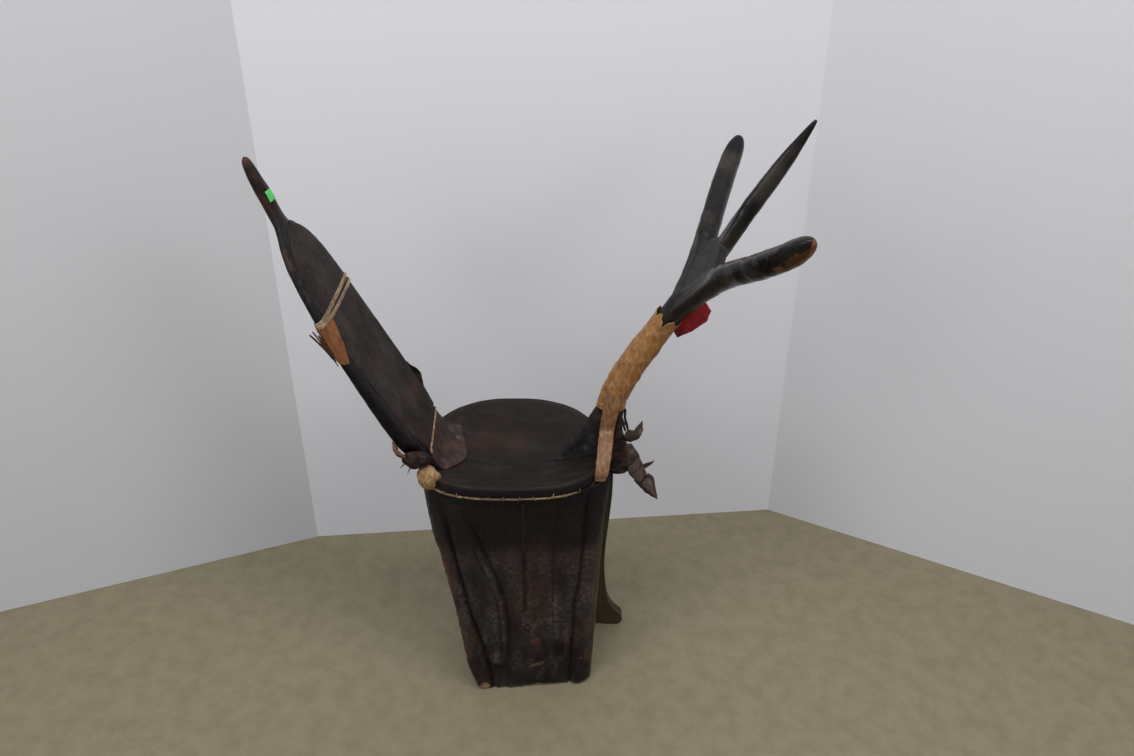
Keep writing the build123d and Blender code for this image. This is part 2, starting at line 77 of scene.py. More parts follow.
def spread(tree, value, low, high, to_low=0.0, to_high=1.0):
    """A value taken smoothly from one range to another."""
    made = put(tree, "MapRange", {0: value, 1: low, 2: high, 3: to_low, 4: to_high},
               interpolation_type="SMOOTHSTEP")
    return made.outputs[0]


def cloudy(tree, where, scale, detail, **more):
    """Soft clouds of grey, as a value from 0 to 1."""
    return put(tree, "TexNoise", {"Vector": where, "Scale": scale, "Detail": detail, **more}).outputs[0]


def effect(name, inputs, outputs):
    """A new group of nodes, and its own input and output sockets."""
    group = bpy.data.node_groups.new(name, "ShaderNodeTree")
    for label, kind, value in inputs:
        socket = group.interface.new_socket(label, in_out="INPUT", socket_type="NodeSocket" + kind)
        socket.default_value = value
    for label, kind in outputs:
        group.interface.new_socket(label, in_out="OUTPUT", socket_type="NodeSocket" + kind)
    return group, group.nodes.new("NodeGroupInput").outputs, group.nodes.new("NodeGroupOutput").inputs


def place(tree, group, inputs):
    """An effect placed in a material, with its own values."""
    made = tree.nodes.new("ShaderNodeGroup")
    made.node_tree = group
    return feed(tree, made, inputs).outputs


def finish(name, look, strength, depth, **constants):
    """A material around an effect's colour, roughness and height. look is a function of its tree."""
    material = bpy.data.materials.new(name)
    material.use_nodes = True
    tree = material.node_tree
    shader = tree.nodes["Principled BSDF"]
    for label, value in constants.items():
        shader.inputs[label.replace("_", " ")].default_value = value
    outputs = look(tree)
    bump = put(tree, "Bump", {"Height": outputs["Height"], "Strength": strength, "Distance": depth})
    tree.links.new(outputs["Colour"], shader.inputs["Base Color"])
    tree.links.new(outputs["Roughness"], shader.inputs["Roughness"])
    tree.links.new(bump.outputs[0], shader.inputs["Normal"])
    return material


hewn_wood, given, out = effect(
    "hewn_wood",
    [("Light", "Color", (0.3, 0.2, 0.12, 1)), ("Dark", "Color", (0.1, 0.06, 0.035, 1)),
     ("Grain", "Vector", (60, 60, 6)), ("Cracks", "Float", 0.5)],
    [("Colour", "Color"), ("Roughness", "Float"), ("Height", "Float")],
)
tree = hewn_wood
spot = put(tree, "TexCoord").outputs["Object"]
along = put(tree, "VectorMath", {0: spot, 1: given["Grain"]}, operation="MULTIPLY").outputs[0]
fibre = cloudy(tree, along, 3.0, 9.0, Roughness=0.65)
rings = cloudy(tree, along, 0.7, 3.0, Distortion=0.8)
split = reckon(tree, "ABSOLUTE", reckon(tree, "SUBTRACT", rings, 0.5))
split = reckon(tree, "MULTIPLY", spread(tree, split, 0.0, 0.022, 1.0, 0.0), given["Cracks"])
grime = cloudy(tree, spot, 14.0, 5.0)
colour = tint(tree, spread(tree, rings, 0.3, 0.7), given["Dark"], given["Light"])
colour = tint(tree, spread(tree, fibre, 0.35, 0.7, 0.55, 0.0), colour, given["Dark"])
colour = tint(tree, spread(tree, grime, 0.45, 0.7, 0.0, 0.45), colour, (0.16, 0.14, 0.11, 1))
tree.links.new(tint(tree, split, colour, (0.012, 0.009, 0.007, 1)), out["Colour"])
tree.links.new(spread(tree, fibre, 0.3, 0.7, 0.85, 0.62), out["Roughness"])
tree.links.new(reckon(tree, "SUBTRACT", fibre, reckon(tree, "MULTIPLY", split, 1.6)), out["Height"])


def wood(name, light, dark, grain=(60, 60, 6), cracks=0.5, strength=0.5):
    look = {"Light": light, "Dark": dark, "Grain": grain, "Cracks": cracks}
    return finish(name, lambda tree: place(tree, hewn_wood, look), strength, 0.0012)


upright_wood = wood("acacia_upright", (0.13, 0.09, 0.058, 1), (0.045, 0.028, 0.018, 1))
lengthwise_wood = wood("acacia_lengthwise", (0.15, 0.1, 0.062, 1), (0.05, 0.031, 0.02, 1), (6, 60, 60))
crosswise_wood = wood("acacia_crosswise", (0.15, 0.1, 0.062, 1), (0.05, 0.031, 0.02, 1), (60, 6, 60))
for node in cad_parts:
    grown = None
    if node.startswith(("leg_rear", "leg_front_right", "side_arm")):
        grown = upright_wood
    elif node.startswith(("side_rail", "seat_board")):
        grown = lengthwise_wood
    elif node.startswith(("cross_bar", "peg")):
        grown = crosswise_wood
    if grown:
        cad_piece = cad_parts[node]
        cad_piece.data.materials.clear()
        cad_piece.data.materials.append(grown)


# ---------------------------------------------------------------- seat hide
# One dark hide pulled over the two dished boards and turned down over their rim. Riding has
# rubbed it smooth; it keeps fine wrinkles, a crease between the boards and a glossy rim.
aged_hide, given, out = effect(
    "aged_hide",
    [("Colour", "Color", (0.05, 0.04, 0.035, 1)), ("Worn Colour", "Color", (0.2, 0.09, 0.05, 1)),
     ("Dust Colour", "Color", (0.2, 0.17, 0.14, 1)), ("Wear", "Float", 0.0), ("Dust", "Float", 0.0),
     ("Streaks", "Vector", (20, 20, 20)), ("Glossy", "Float", 0.35), ("Dull", "Float", 0.7),
     ("Mottle", "Float", 0.5)],
    [("Colour", "Color"), ("Roughness", "Float"), ("Height", "Float")],
)
tree = aged_hide
spot = put(tree, "TexCoord").outputs["Object"]
drawn = put(tree, "VectorMath", {0: spot, 1: given["Streaks"]}, operation="MULTIPLY").outputs[0]
clouds = cloudy(tree, spot, 13.0, 6.0, Roughness=0.6)
streaks = cloudy(tree, drawn, 4.0, 8.0, Roughness=0.62)
pores = put(tree, "TexVoronoi", {"Vector": spot, "Scale": 620.0}).outputs["Distance"]
specks = cloudy(tree, spot, 170.0, 4.0)
creases = cloudy(tree, drawn, 9.0, 3.0, Distortion=1.2)
creases = spread(tree, reckon(tree, "ABSOLUTE", reckon(tree, "SUBTRACT", creases, 0.5)), 0.0, 0.03, 1.0,
                 0.0)
shade = reckon(tree, "MULTIPLY", spread(tree, clouds, 0.38, 0.68), given["Mottle"])
darker = tint(tree, 1.0, given["Colour"], (0.35, 0.33, 0.36, 1), "MULTIPLY")
lighter = tint(tree, 1.0, given["Colour"], (1.7, 1.55, 1.45, 1), "MULTIPLY")
colour = tint(tree, shade, given["Colour"], darker)
colour = tint(tree, spread(tree, streaks, 0.5, 0.75, 0.0, 0.55), colour, lighter)
colour = tint(tree, spread(tree, specks, 0.58, 0.72, 0.0, 0.35), colour, darker)
worn = reckon(tree, "MULTIPLY", given["Wear"], spread(tree, streaks, 0.3, 0.6, 0.35, 1.0), clamp=True)
colour = tint(tree, worn, colour, given["Worn Colour"])
dusty = reckon(tree, "MULTIPLY", given["Dust"], spread(tree, specks, 0.4, 0.65, 0.25, 1.0), clamp=True)
colour = tint(tree, dusty, colour, given["Dust Colour"])
tree.links.new(tint(tree, reckon(tree, "MULTIPLY", creases, 0.5), colour, darker), out["Colour"])
rubbed = spread(tree, clouds, 0.35, 0.65)
rough = put(tree, "Mix", {0: rubbed, 2: given["Glossy"], 3: given["Dull"]}, data_type="FLOAT").outputs[0]
rough = reckon(tree, "ADD", rough, reckon(tree, "MULTIPLY", dusty, 0.3))
tree.links.new(reckon(tree, "ADD", rough, spread(tree, specks, 0.35, 0.65, -0.06, 0.08), clamp=True),
               out["Roughness"])
relief = reckon(tree, "ADD", reckon(tree, "MULTIPLY", streaks, 0.7), reckon(tree, "MULTIPLY", pores, 0.22))
relief = reckon(tree, "ADD", relief, reckon(tree, "MULTIPLY", specks, 0.2))
tree.links.new(reckon(tree, "SUBTRACT", relief, reckon(tree, "MULTIPLY", creases, 0.35)), out["Height"])


def hide(name, colour, worn, dust, streaks, glossy, dull, mottle=0.5, strength=0.45, depth=0.0012,
         **constants):
    """A leather finish. Where it is worn or dusty is painted on each piece's points, and so is painted
    shade, which darkens it towards black.
    """
    def look(tree):
        wear_here = put(tree, "Attribute", attribute_name="wear").outputs["Fac"]
        dust_here = put(tree, "Attribute", attribute_name="dust").outputs["Fac"]
        soot_here = put(tree, "Attribute", attribute_name="soot").outputs["Fac"]
        aged = place(tree, aged_hide, {
            "Colour": colour, "Worn Colour": worn, "Dust Colour": dust, "Wear": wear_here,
            "Dust": dust_here, "Streaks": streaks, "Glossy": glossy, "Dull": dull, "Mottle": mottle,
        })
        # The third painted value darkens the leather towards black: painted shade in grooves, creases and
        # under rims; on the cantle it darkens the edge hide towards the foot.
        sooty = tint(tree, reckon(tree, "MULTIPLY", soot_here, 0.85), aged["Colour"],
                     (0.0045, 0.0034, 0.0048, 1))
        return {"Colour": sooty, "Roughness": aged["Roughness"], "Height": aged["Height"]}
    constants.setdefault("Specular_IOR_Level", 0.17)
    return finish(name, look, strength, depth, **constants)


def soft(value, low, high):
    """0 below low, 1 above high and a smooth rise between."""
    share = min(max((value - low) / (high - low), 0), 1)
    return share * share * (3 - 2 * share)


def bell(distance, width):
    """1 on a line, and fading out over a width either side of it."""
    return math.exp(-(distance / width) ** 2)


def ripple(x, y, z, size, seed=0):
    """Smooth unevenness from -1 to 1, in lumps of a size in millimetres."""
    return noise.noise(Vector((x / size + seed * 7.3, y / size - seed * 3.1, z / size + seed)))


def turns(count):
    """Angles all the way round, in even steps."""
    return [2 * math.pi * m / count for m in range(count)]


def patches(most, size, seed, low, high):
    """A rule for patches of wear or dust of a size in millimetres, up to a most."""
    return lambda x, y, z: most * soft(ripple(x, y, z, size, seed), low, high)


def skin(name, rows, closed=False, lids=False, **paints):
    """A smooth mesh over rows of points in millimetres. paints give each point's wear and dust."""
    shape = bmesh.new()
    grid = [[shape.verts.new(Vector(point) * MM) for point in row] for row in rows]
    for low, high in zip(grid, grid[1:]):
        for k in range(len(low) if closed else len(low) - 1):
            n = (k + 1) % len(low)
            shape.faces.new((low[k], low[n], high[n], high[k]))
    if lids:
        shape.faces.new(list(reversed(grid[0])))
        shape.faces.new(grid[-1])
    return paint(cast(name, shape), **paints)


def cast(name, shape):
    """A smooth piece made from a finished shape."""
    bmesh.ops.recalc_face_normals(shape, faces=shape.faces)
    data = bpy.data.meshes.new(name)
    shape.to_mesh(data)
    shape.free()
    data.shade_smooth()
    piece = bpy.data.objects.new(name, data)
    bpy.context.collection.objects.link(piece)
    return piece


def paint(piece, **paints):
    """Values on each point of a piece, such as its wear, from a rule that takes the point in millimetres."""
    for label, rule in paints.items():
        layer = piece.data.attributes.new(label, "FLOAT", "POINT")
        layer.data.foreach_set("value", [rule(*(point.co / MM)) for point in piece.data.vertices])
    return piece


def thicken(piece, thickness, offset=-1.0):
    """Turns a sheet into leather of a thickness in millimetres."""
    made = piece.modifiers.new("thickness", "SOLIDIFY")
    made.thickness, made.offset = thickness * MM, offset
    return piece


def fit(piece, material, slot_name, *nodes):
    """Gives a piece its finish, fixes it to the saddle and lets it stand for its CAD nodes."""
    piece.data.materials.append(material)
    if nodes:
        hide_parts(*nodes)
    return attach(piece, "root")


SEAT_MIDDLE, SEAT_HALF_LONG, SEAT_HALF_WIDE, SEAT_SQUARENESS = -29, 140, 128.5, 2.45
RIM_TOP, DISH, END_DROP, STRAIGHT_SHARE = 455, 45, 9, 0.2


def seat_reach(angle):
    """From the middle of the seat to its outline."""
    long_way = abs(math.cos(angle) / SEAT_HALF_LONG) ** SEAT_SQUARENESS
    wide_way = abs(math.sin(angle) / SEAT_HALF_WIDE) ** SEAT_SQUARENESS
    return (long_way + wide_way) ** (-1 / SEAT_SQUARENESS)


def seat_height(x, y):
    """The dished upper side of the seat."""
    u, v = abs(x - SEAT_MIDDLE) / SEAT_HALF_LONG, abs(y) / SEAT_HALF_WIDE
    bowl = (u ** SEAT_SQUARENESS + v ** SEAT_SQUARENESS) ** (2 / SEAT_SQUARENESS)
    return RIM_TOP - DISH + (DISH - END_DROP * u * u) * ((1 - STRAIGHT_SHARE) * bowl + STRAIGHT_SHARE * v)


def crease_at(x):
    """The crease between the boards wanders a little."""
    return 2.5 * math.sin(x / 19) + 3 * ripple(x, 0, 0, 40, 3) + 2 - 13 * ((x - SEAT_MIDDLE) / 85) ** 2


EDGE_ROUND, LIP_DROP = 6, 17
SEAT_RINGS, ROUND_THE_SEAT = 60, 260
seat_rows = []
for k in range(SEAT_RINGS + 1):
    share = 1 - (1 - k / SEAT_RINGS) ** 1.35
    ring = []
    for angle in turns(ROUND_THE_SEAT):
        reach = seat_reach(angle) * share
        x, y = SEAT_MIDDLE + reach * math.cos(angle), reach * math.sin(angle)
        into_edge = max(EDGE_ROUND - (seat_reach(angle) - reach), 0)
        z = seat_height(x, y) - EDGE_ROUND + math.sqrt(EDGE_ROUND ** 2 - into_edge ** 2)
        z += 0.9 * ripple(x, y, 0, 45, 1) + 0.3 * ripple(x / 4, y, 0, 7, 2)
        z -= 1.5 * bell(y - crease_at(x), 1.3) - 0.5 * bell(y - crease_at(x) - 4, 3)
        ring.append((x, y, z))
    seat_rows.append(ring)
# The hide turns over the rim and in under it.
for out_by, drop in ((0.4, 8), (1, 10), (1.3, 13), (0.8, 15.5), (-0.6, LIP_DROP), (-2.6, 16.6), (-4.5, 14)):
    ring = []
    for angle in turns(ROUND_THE_SEAT):
        reach = seat_reach(angle)
        rim = seat_height(SEAT_MIDDLE + reach * math.cos(angle), reach * math.sin(angle))
        pleat = 0.5 * ripple(angle * 90, 0, drop / 4, 3, 4) + 0.9 * ripple(angle * 60, 0, 0, 22, 5)
        reach += out_by + pleat * soft(drop, 4, 14)
        ring.append((SEAT_MIDDLE + reach * math.cos(angle), reach * math.sin(angle),
                     rim - drop + 0.8 * pleat))
    seat_rows.append(ring)


def near_rim(x, y):
    """0 in the middle of the seat and 1 at its rim."""
    return math.hypot(x - SEAT_MIDDLE, y) / seat_reach(math.atan2(y, x - SEAT_MIDDLE))


seat_cover = skin(
    "seat_cover", seat_rows, closed=True,
    wear=lambda x, y, z: 0.35 * bell(near_rim(x, y) - 0.97, 0.03) * soft(ripple(x, y, 0, 30, 6), -0.1, 0.5)
    + 0.5 * soft(-x, 92, 130) * soft(ripple(x, y, 0, 16, 7), 0, 0.4)
    + 0.75 * bell(x + 62, 48) * bell(y - 48, 30) * soft(ripple(x / 2, y, 0, 26, 12), -0.5, 0.3),
    dust=lambda x, y, z: 0.16 * soft(ripple(x / 3, y, z, 20, 8), -0.1, 0.6)
    + 0.25 * bell(y - crease_at(x) + 4, 2.5) * bell(x - 40, 30) + 0.22 * bell(near_rim(x, y) - 0.955, 0.02),
    # Painted shade: black along the crease between the boards, and over the rounded edge and the turned-down
    # lip under the rim.
    soot=lambda x, y, z: min(1, 0.9 * bell(y - crease_at(x), 1.4) * (1 - soft(near_rim(x, y), 0.8, 0.95))
                             + 0.75 * soft(near_rim(x, y), 0.972, 0.99)),
)
rubbed_hide = hide(
    "rubbed_hide", (0.0155, 0.0124, 0.0108, 1), (0.066, 0.028, 0.0175, 1), (0.08, 0.069, 0.06, 1),
    (6, 55, 55), 0.33, 0.56, 0.45, 0.35, 0.001, Specular_IOR_Level=0.1,
)
fit(seat_cover, rubbed_hide, "seat_leather", "seat_hide_left", "seat_hide_right")


# ---------------------------------------------------------------- rim cord
# A strip of dried rawhide runs under the lip of the seat on each side. It pulls the lip in, and
# is sewn down every two fingers with a turn of the same rawhide.
rawhide_look, given, out = effect(
    "dried_rawhide",
    [("Pale", "Color", (0.5, 0.35, 0.18, 1)), ("Brown", "Color", (0.18, 0.08, 0.03, 1)),
     ("Fibres", "Vector", (30, 30, 30)), ("Stains", "Float", 0.5)],
    [("Colour", "Color"), ("Roughness", "Float"), ("Height", "Float")],
)
tree = rawhide_look
spot = put(tree, "TexCoord").outputs["Object"]
drawn = put(tree, "VectorMath", {0: spot, 1: given["Fibres"]}, operation="MULTIPLY").outputs[0]
fibres = cloudy(tree, drawn, 5.0, 8.0, Roughness=0.65)
stains = cloudy(tree, spot, 42.0, 6.0, Distortion=0.6)
flecks = cloudy(tree, spot, 260.0, 3.0)
colour = tint(tree, spread(tree, fibres, 0.35, 0.68), given["Brown"], given["Pale"])
stained = reckon(tree, "MULTIPLY", spread(tree, stains, 0.46, 0.68), given["Stains"])
colour = tint(tree, stained, colour, given["Brown"])
colour = tint(tree, spread(tree, flecks, 0.62, 0.74, 0.0, 0.7), colour, (0.045, 0.022, 0.012, 1))
tree.links.new(colour, out["Colour"])
tree.links.new(spread(tree, stains, 0.35, 0.65, 0.42, 0.66), out["Roughness"])
relief = reckon(tree, "ADD", fibres, reckon(tree, "MULTIPLY", stains, 0.6))
tree.links.new(reckon(tree, "SUBTRACT", relief, reckon(tree, "MULTIPLY", flecks, 0.3)), out["Height"])


def rawhide(name, pale, brown, fibres, stains=0.5, strength=0.5, depth=0.001):
    look = {"Pale": pale, "Brown": brown, "Fibres": fibres, "Stains": stains}
    return finish(name, lambda tree: place(tree, rawhide_look, look), strength, depth)


def thong(points, radius, sides=10, flat=1.0, seed=1):
    """Rows of a thong that follows points; radius is one value or one for each point."""
    rows = []
    for k, point in enumerate(points):
        here = Vector(point)
        run = (Vector(points[min(k + 1, len(points) - 1)]) - Vector(points[max(k - 1, 0)])).normalized()
        across = run.cross(Vector((0, 0, 1)) if abs(run.z) < 0.9 else Vector((1, 0, 0))).normalized()
        above = across.cross(run)
        thick = radius if isinstance(radius, (int, float)) else radius[k]
        thick *= 1 + 0.16 * ripple(*here, 8, seed)
        rows.append([here + across * math.cos(turn) * thick + above * math.sin(turn) * thick * flat
                     for turn in turns(sides)])
    return rows


def joined(name, bundles, **paints):
    """One piece made of several closed tubes of rows."""
    pieces = [skin(f"{name}_{k}", rows, closed=True, lids=True) for k, rows in enumerate(bundles)]
    if len(pieces) > 1:
        with bpy.context.temp_override(active_object=pieces[0], selected_editable_objects=pieces):
            bpy.ops.object.join()
    pieces[0].name = name
    return paint(pieces[0], **paints)


pale_rawhide = rawhide("pale_rawhide", (0.36, 0.26, 0.145, 1), (0.13, 0.068, 0.03, 1), (25, 25, 60), 0.55)
CORD_DROP, CORD_REACH, STITCH_GAP = 18.4, 1.2, 0.16
for hand, side in HANDS:
    cord_line, stitches = [], []
    for k in range(181):
        angle = side * math.radians(22 + 132 * k / 180)
        reach = seat_reach(angle)
        x, y = SEAT_MIDDLE + reach * math.cos(angle), reach * math.sin(angle)
        z = seat_height(x, y) - CORD_DROP + 0.7 * ripple(x, y, 0, 25, 9)
        inward = Vector((math.cos(angle), math.sin(angle), 0)) * CORD_REACH
        cord_line.append((x - inward.x, y - inward.y, z))
        if k % 13 == 6:
            lean = 2 * ripple(x, y, 0, 9, 10)
            stitches.append([
                (x - inward.x * s + lean * t, y - inward.y * s, z + t)
                for s, t in ((3, -2), (0.2, -2.6), (-1.2, 0), (-1.6, 3), (-0.6, 5.5), (1.5, 7))])
    bundles = [thong(cord_line, 2.0, 10, 1.15, 11)] + [thong(line, 0.75, 8) for line in stitches]
    fit(joined(f"seat_cord_{hand}", bundles), pale_rawhide, "rawhide", f"rim_cord_{hand}")


# ---------------------------------------------------------------- skirts
# A stiff dark hide hangs from the rim on each side and is drawn over the legs and arms, which
# show through it as ridges. It went on wet and dried hard; the hem is torn and curled.
SKIRT_TOP_OUT, REAR_FLOOR_OUT = 124, 74
SKIRT_TOP, SKIRT_FULL = 432, 436
SKIRT_HALF_THICK = 1.3
FRONT_FLOOR_OUT = {"right": 56, "left": 103}
REAR_EDGE = [(0, -96), (50, -110), (180, -122), (305, -141), (334, -150), (405, -159), (440, -164)]
FRONT_EDGE = {
    "right": [(0, 92), (121, 93), (176, 97), (244, 100), (310, 105), (355, 110), (444, 121)],
    "left": [(0, 94), (60, 98), (162, 104), (244, 105), (310, 108), (355, 111), (444, 121)],
}
HEM = [(0, 3), (0.1, 1), (0.18, 2), (0.37, 3), (0.53, 7), (0.66, 5), (0.77, 3), (0.9, 5), (1, 9)]
REAR_ARM_BACK = [(60, -76), (88, -79), (175, -97), (342, -121), (420, -130)]
REAR_ARM_FRONT = [
    (60, -52), (88, -45), (160, -44), (208, -47), (270, -61), (328, -77), (378, -93), (420, -100),
]
FRONT_ARM_BACK = [(60, 40), (109, 37), (186, 35), (322, 36), (420, 47)]
FRONT_ROLL_BACK = [(0, 58), (105, 62), (197, 67), (240, 74), (315, 79), (398, 83), (440, 88)]


def between(pairs, at):
    """Read off straight runs between (place, value) pairs."""
    for (low, first), (high, second) in zip(pairs, pairs[1:]):
        if at <= high:
            return first + (second - first) * (at - low) / (high - low)
    return pairs[-1][1]


def skirt_out(hand, x, z):
    """How far the smooth skirt stands from the middle plane."""
    if x < SEAT_MIDDLE:
        top = SKIRT_TOP_OUT - 61 * ((SEAT_MIDDLE - x) / 129) ** 3.2
    else:
        top = SKIRT_TOP_OUT - 62 * ((x - SEAT_MIDDLE) / 150) ** 2.5
    along = (x + 97) / 190
    floor = (REAR_FLOOR_OUT + (FRONT_FLOOR_OUT[hand] - REAR_FLOOR_OUT) * along
             + 4 * (1 - (2 * along - 1) ** 2))
    t = z / SKIRT_TOP
    return floor + (top - floor) * (0.55 * t + 0.45 * t ** 3)


def skirt_relief(hand, x, z):
    """What the legs, arms, folds and tears add to it."""
    seed = 20 if hand == "right" else 40
    back, front = between(REAR_EDGE, z), between(FRONT_EDGE[hand], z)
    arm_back, arm_front = between(REAR_ARM_BACK, z), between(REAR_ARM_FRONT, z)
    roll = between(FRONT_ROLL_BACK, z)
    held = soft(z, 58, 74) * (1 - soft(z, 340, 425))
    wander = 1.6 * ripple(0, 0, z, 34, seed)
    out = (0.8 * ripple(x, 0, z / 3, 16, seed + 1) + 0.5 * ripple(x, 0, z / 2, 6, seed + 2)
           + 1.0 * ripple(x, 0, z, 60, seed + 3))
    # roll over the rear leg, then the groove behind the rear arm
    share = min(max((x - back) / max(arm_back - back, 1), 0), 1)
    out += 4.2 * math.sin(math.pi * share) ** 0.7 * (1 - soft(z, 380, 430))
    out -= 3.6 * bell(x - arm_back - wander + 1, 3.8) * (1 - soft(z, 330, 420))
    # rear arm: a flat paddle with a doubled ridge along its front edge
    out += 2.6 * soft(x, arm_back, arm_back + 7) * (1 - soft(x, arm_front - 4, arm_front + 2)) * held
    out += 3.4 * bell(x - arm_front + 4 - wander, 3.2) * held
    out += (1.1 * bell(x - arm_front + 12 - wander, 2.4) * held
            * soft(ripple(0, 0, z, 30, seed + 4), -0.5, 0.3))
    out -= 1.5 * bell(x - arm_front - 4 - wander, 3.0) * held
    out += 4.5 * math.exp(-((x + 61) / 11) ** 2 - ((z - 76) / 15) ** 2)
    # the middle is drawn in, with a slit down it where the edges of two hides meet
    out -= 1.8 * bell(x + 12, 38) * soft(z, 120, 330)
    out += 0.9 * bell(x + 17, 3) * soft(z, 180, 200)
    # front arm, the hollow under its end, and the roll over the front leg
    front_arm = between(FRONT_ARM_BACK, z) + wander
    out += (1.8 * soft(x, front_arm - 3, front_arm + 4) * (1 - soft(x, front_arm + 17, front_arm + 27))
            * soft(z, 100, 116) * (1 - soft(z, 330, 425)))
    out += 2.2 * bell(x - front_arm, 3.0) * soft(z, 98, 112) * (1 - soft(z, 240, 330))
    out += 0.7 * bell(x - front_arm - 14, 2.4) * soft(z, 190, 220) * (1 - soft(z, 300, 360))
    out -= 3.4 * math.exp(-((x - 41) / 9) ** 4 - ((z - 84) / 16) ** 4)
    share = min(max((x - roll) / max(front - roll, 1), 0), 1)
    out += 4.6 * math.sin(math.pi * share) ** 0.8 * (1 - soft(z, 400, 436))
    out -= 2.6 * bell(x - roll - 1.5 * wander, 3.4)
    out -= 1.2 * bell(z - 298 + 0.35 * (x - 71) - 2.5 * ripple(x, 0, 0, 9, seed + 5), 1.6) * soft(x, 68, 74)
    # a sewn tear low in the middle, and the curled hem
    out -= 1.6 * bell(z - 54 - 0.25 * x, 1.6) * soft(x, -8, -3) * (1 - soft(x, 14, 19))
    curl = 1 - soft(z, 4, 26)
    out += curl * (2.2 * ripple(x, 0, 0, 13, seed + 6) + 1.2 * ripple(x, 0, 0, 5, seed + 7))
    out += 0.9 * ripple(x, 0, z, 9, seed + 8) * (0.35 + 0.65 * (1 - soft(z, 60, 150)))
    # both edges turn in
    out -= 5.5 * (1 - soft(x - back, 0, 9)) ** 2 + 5.0 * (1 - soft(front - x, 0, 8)) ** 2
    return out


LEG_END = Vector((-84, -77, 9))


def skirt_rows(hand, side):
    """From the torn hem up to just under the seat's lip."""
    rows, wide, tall = [], 170, 190
    for k in range(tall + 1):
        row = []
        for m in range(wide + 1):
            along, up = m / wide, k / tall
            z = SKIRT_FULL * up
            x = between(REAR_EDGE, z) + along * (between(FRONT_EDGE[hand], z) - between(REAR_EDGE, z))
            seed = 60 if hand == "right" else 80
            tatter = 2.2 * ripple(x, 0, 0, 11, seed) + 1.3 * ripple(x, 0, 0, 3.5, seed + 1)
            hem = max(between(HEM, along) + 1.5 + tatter, 0.4)
            if hand == "right":
                hem += 17 * max(1 - ((x - LEG_END.x) / 10) ** 2, 0) ** 0.5
            top = seat_height(x, skirt_out(hand, x, SKIRT_TOP)) - 16.5
            z = hem + (top - hem) * up
            ragged = ((1.5 * ripple(0, 0, z, 9, seed + 2) + 0.9 * ripple(0, 0, z, 3, seed + 3))
                      * (1 - soft(z, 330, 400)))
            x += ragged * ((1 - soft(along, 0, 0.06)) - soft(along, 0.94, 1))
            row.append((x, side * (skirt_out(hand, x, z) + skirt_relief(hand, x, z)), z))
        rows.append(row)
    return rows


def skirt_wear(hand):
    """Red-brown where the grain is rubbed off: along edges and ridges, and in one round spot."""
    seed = 20 if hand == "right" else 40

    def rule(x, y, z):
        back, front = between(REAR_EDGE, z), between(FRONT_EDGE[hand], z)
        low = 1 - soft(z, 280, 400)
        worn = 0.75 * bell(x - back - 6, 7) * soft(ripple(x, 0, z, 22, seed + 11), -0.25, 0.35) * low
        worn += 0.6 * bell(front - x - 7, 7) * soft(ripple(x, 0, z, 26, seed + 12), -0.1, 0.4) * low
        worn += (0.55 * bell(x - between(REAR_ARM_BACK, z), 6)
                 * soft(ripple(x, 0, z, 18, seed + 13), -0.2, 0.3) * low)
        worn += (0.35 * bell(x - between(REAR_ARM_FRONT, z) + 4, 4)
                 * soft(ripple(x, 0, z, 12, seed + 14), 0, 0.4) * low)
        worn += (0.26 * bell(x - 5, 32) * soft(z, 110, 180) * (1 - soft(z, 330, 420))
                 + 0.2 * soft(ripple(x, 0, z / 3, 26, seed + 9), -0.1, 0.5) * low)
        worn += 0.55 * soft(x, 66, 74) * bell(z - 303 + 0.35 * (x - 71), 7)
        if hand == "right":
            worn += 0.95 * (1 - soft(math.hypot(x - 2, z - 112), 4, 12))
        return min(worn, 1)
    return rule


def skirt_dust_and_light(hand):
    """Pale dust in the lower half and round the knot, and painted light: highlights on the ridges and on the
    knob at the rear arm's foot, and a lighter band across the middle, below the rim's shade.
    """
    seed = 20 if hand == "right" else 40

    def rule(x, y, z):
        low = 1 - soft(z, 150, 330)
        dust = 0.26 * low * soft(ripple(x, 0, z / 3, 13, seed + 15), -0.15, 0.5)
        # Painted light: a lighter band across the middle, below the rim's shade.
        dust += (0.33 * soft(z, 84, 130) * (1 - soft(z, 296, 340))
                 * soft(ripple(x, 0, z / 4, 24, seed + 10), -0.7, 0.3))
        # Painted highlight along the ridge at the rear arm's front edge.
        dust += (0.4 * bell(x - between(REAR_ARM_FRONT, z) + 4, 2.4)
                 * soft(ripple(x, 0, z, 10, seed + 16), -0.1, 0.4)
                 * soft(z, 80, 120) * (1 - soft(z, 320, 380)))
        # Painted highlight on the knob at the rear arm's foot.
        dust += 0.4 * math.exp(-((x + 61) / 9) ** 2 - ((z - 78) / 12) ** 2)
        # Painted highlight along the ridge at the front arm's back edge.
        dust += (0.35 * bell(x - between(FRONT_ARM_BACK, z), 2.5) * soft(z, 105, 125)
                 * (1 - soft(z, 200, 260)))
        dust += 0.5 * (1 - soft(z, 2, 14)) * soft(ripple(x, 0, z, 6, seed + 17), -0.2, 0.4)
        if hand == "right":
            dust += (0.45 * (1 - soft(math.hypot(x + 9, z - 152), 7, 16))
                     + (1 - soft(math.hypot(x - 77, z - 65), 1, 2.6)))
            dust += 0.6 * bell(z - 57 - 0.25 * x, 2.0) * soft(x, -8, -3) * (1 - soft(x, 14, 19))
        return min(dust, 1)
    return rule


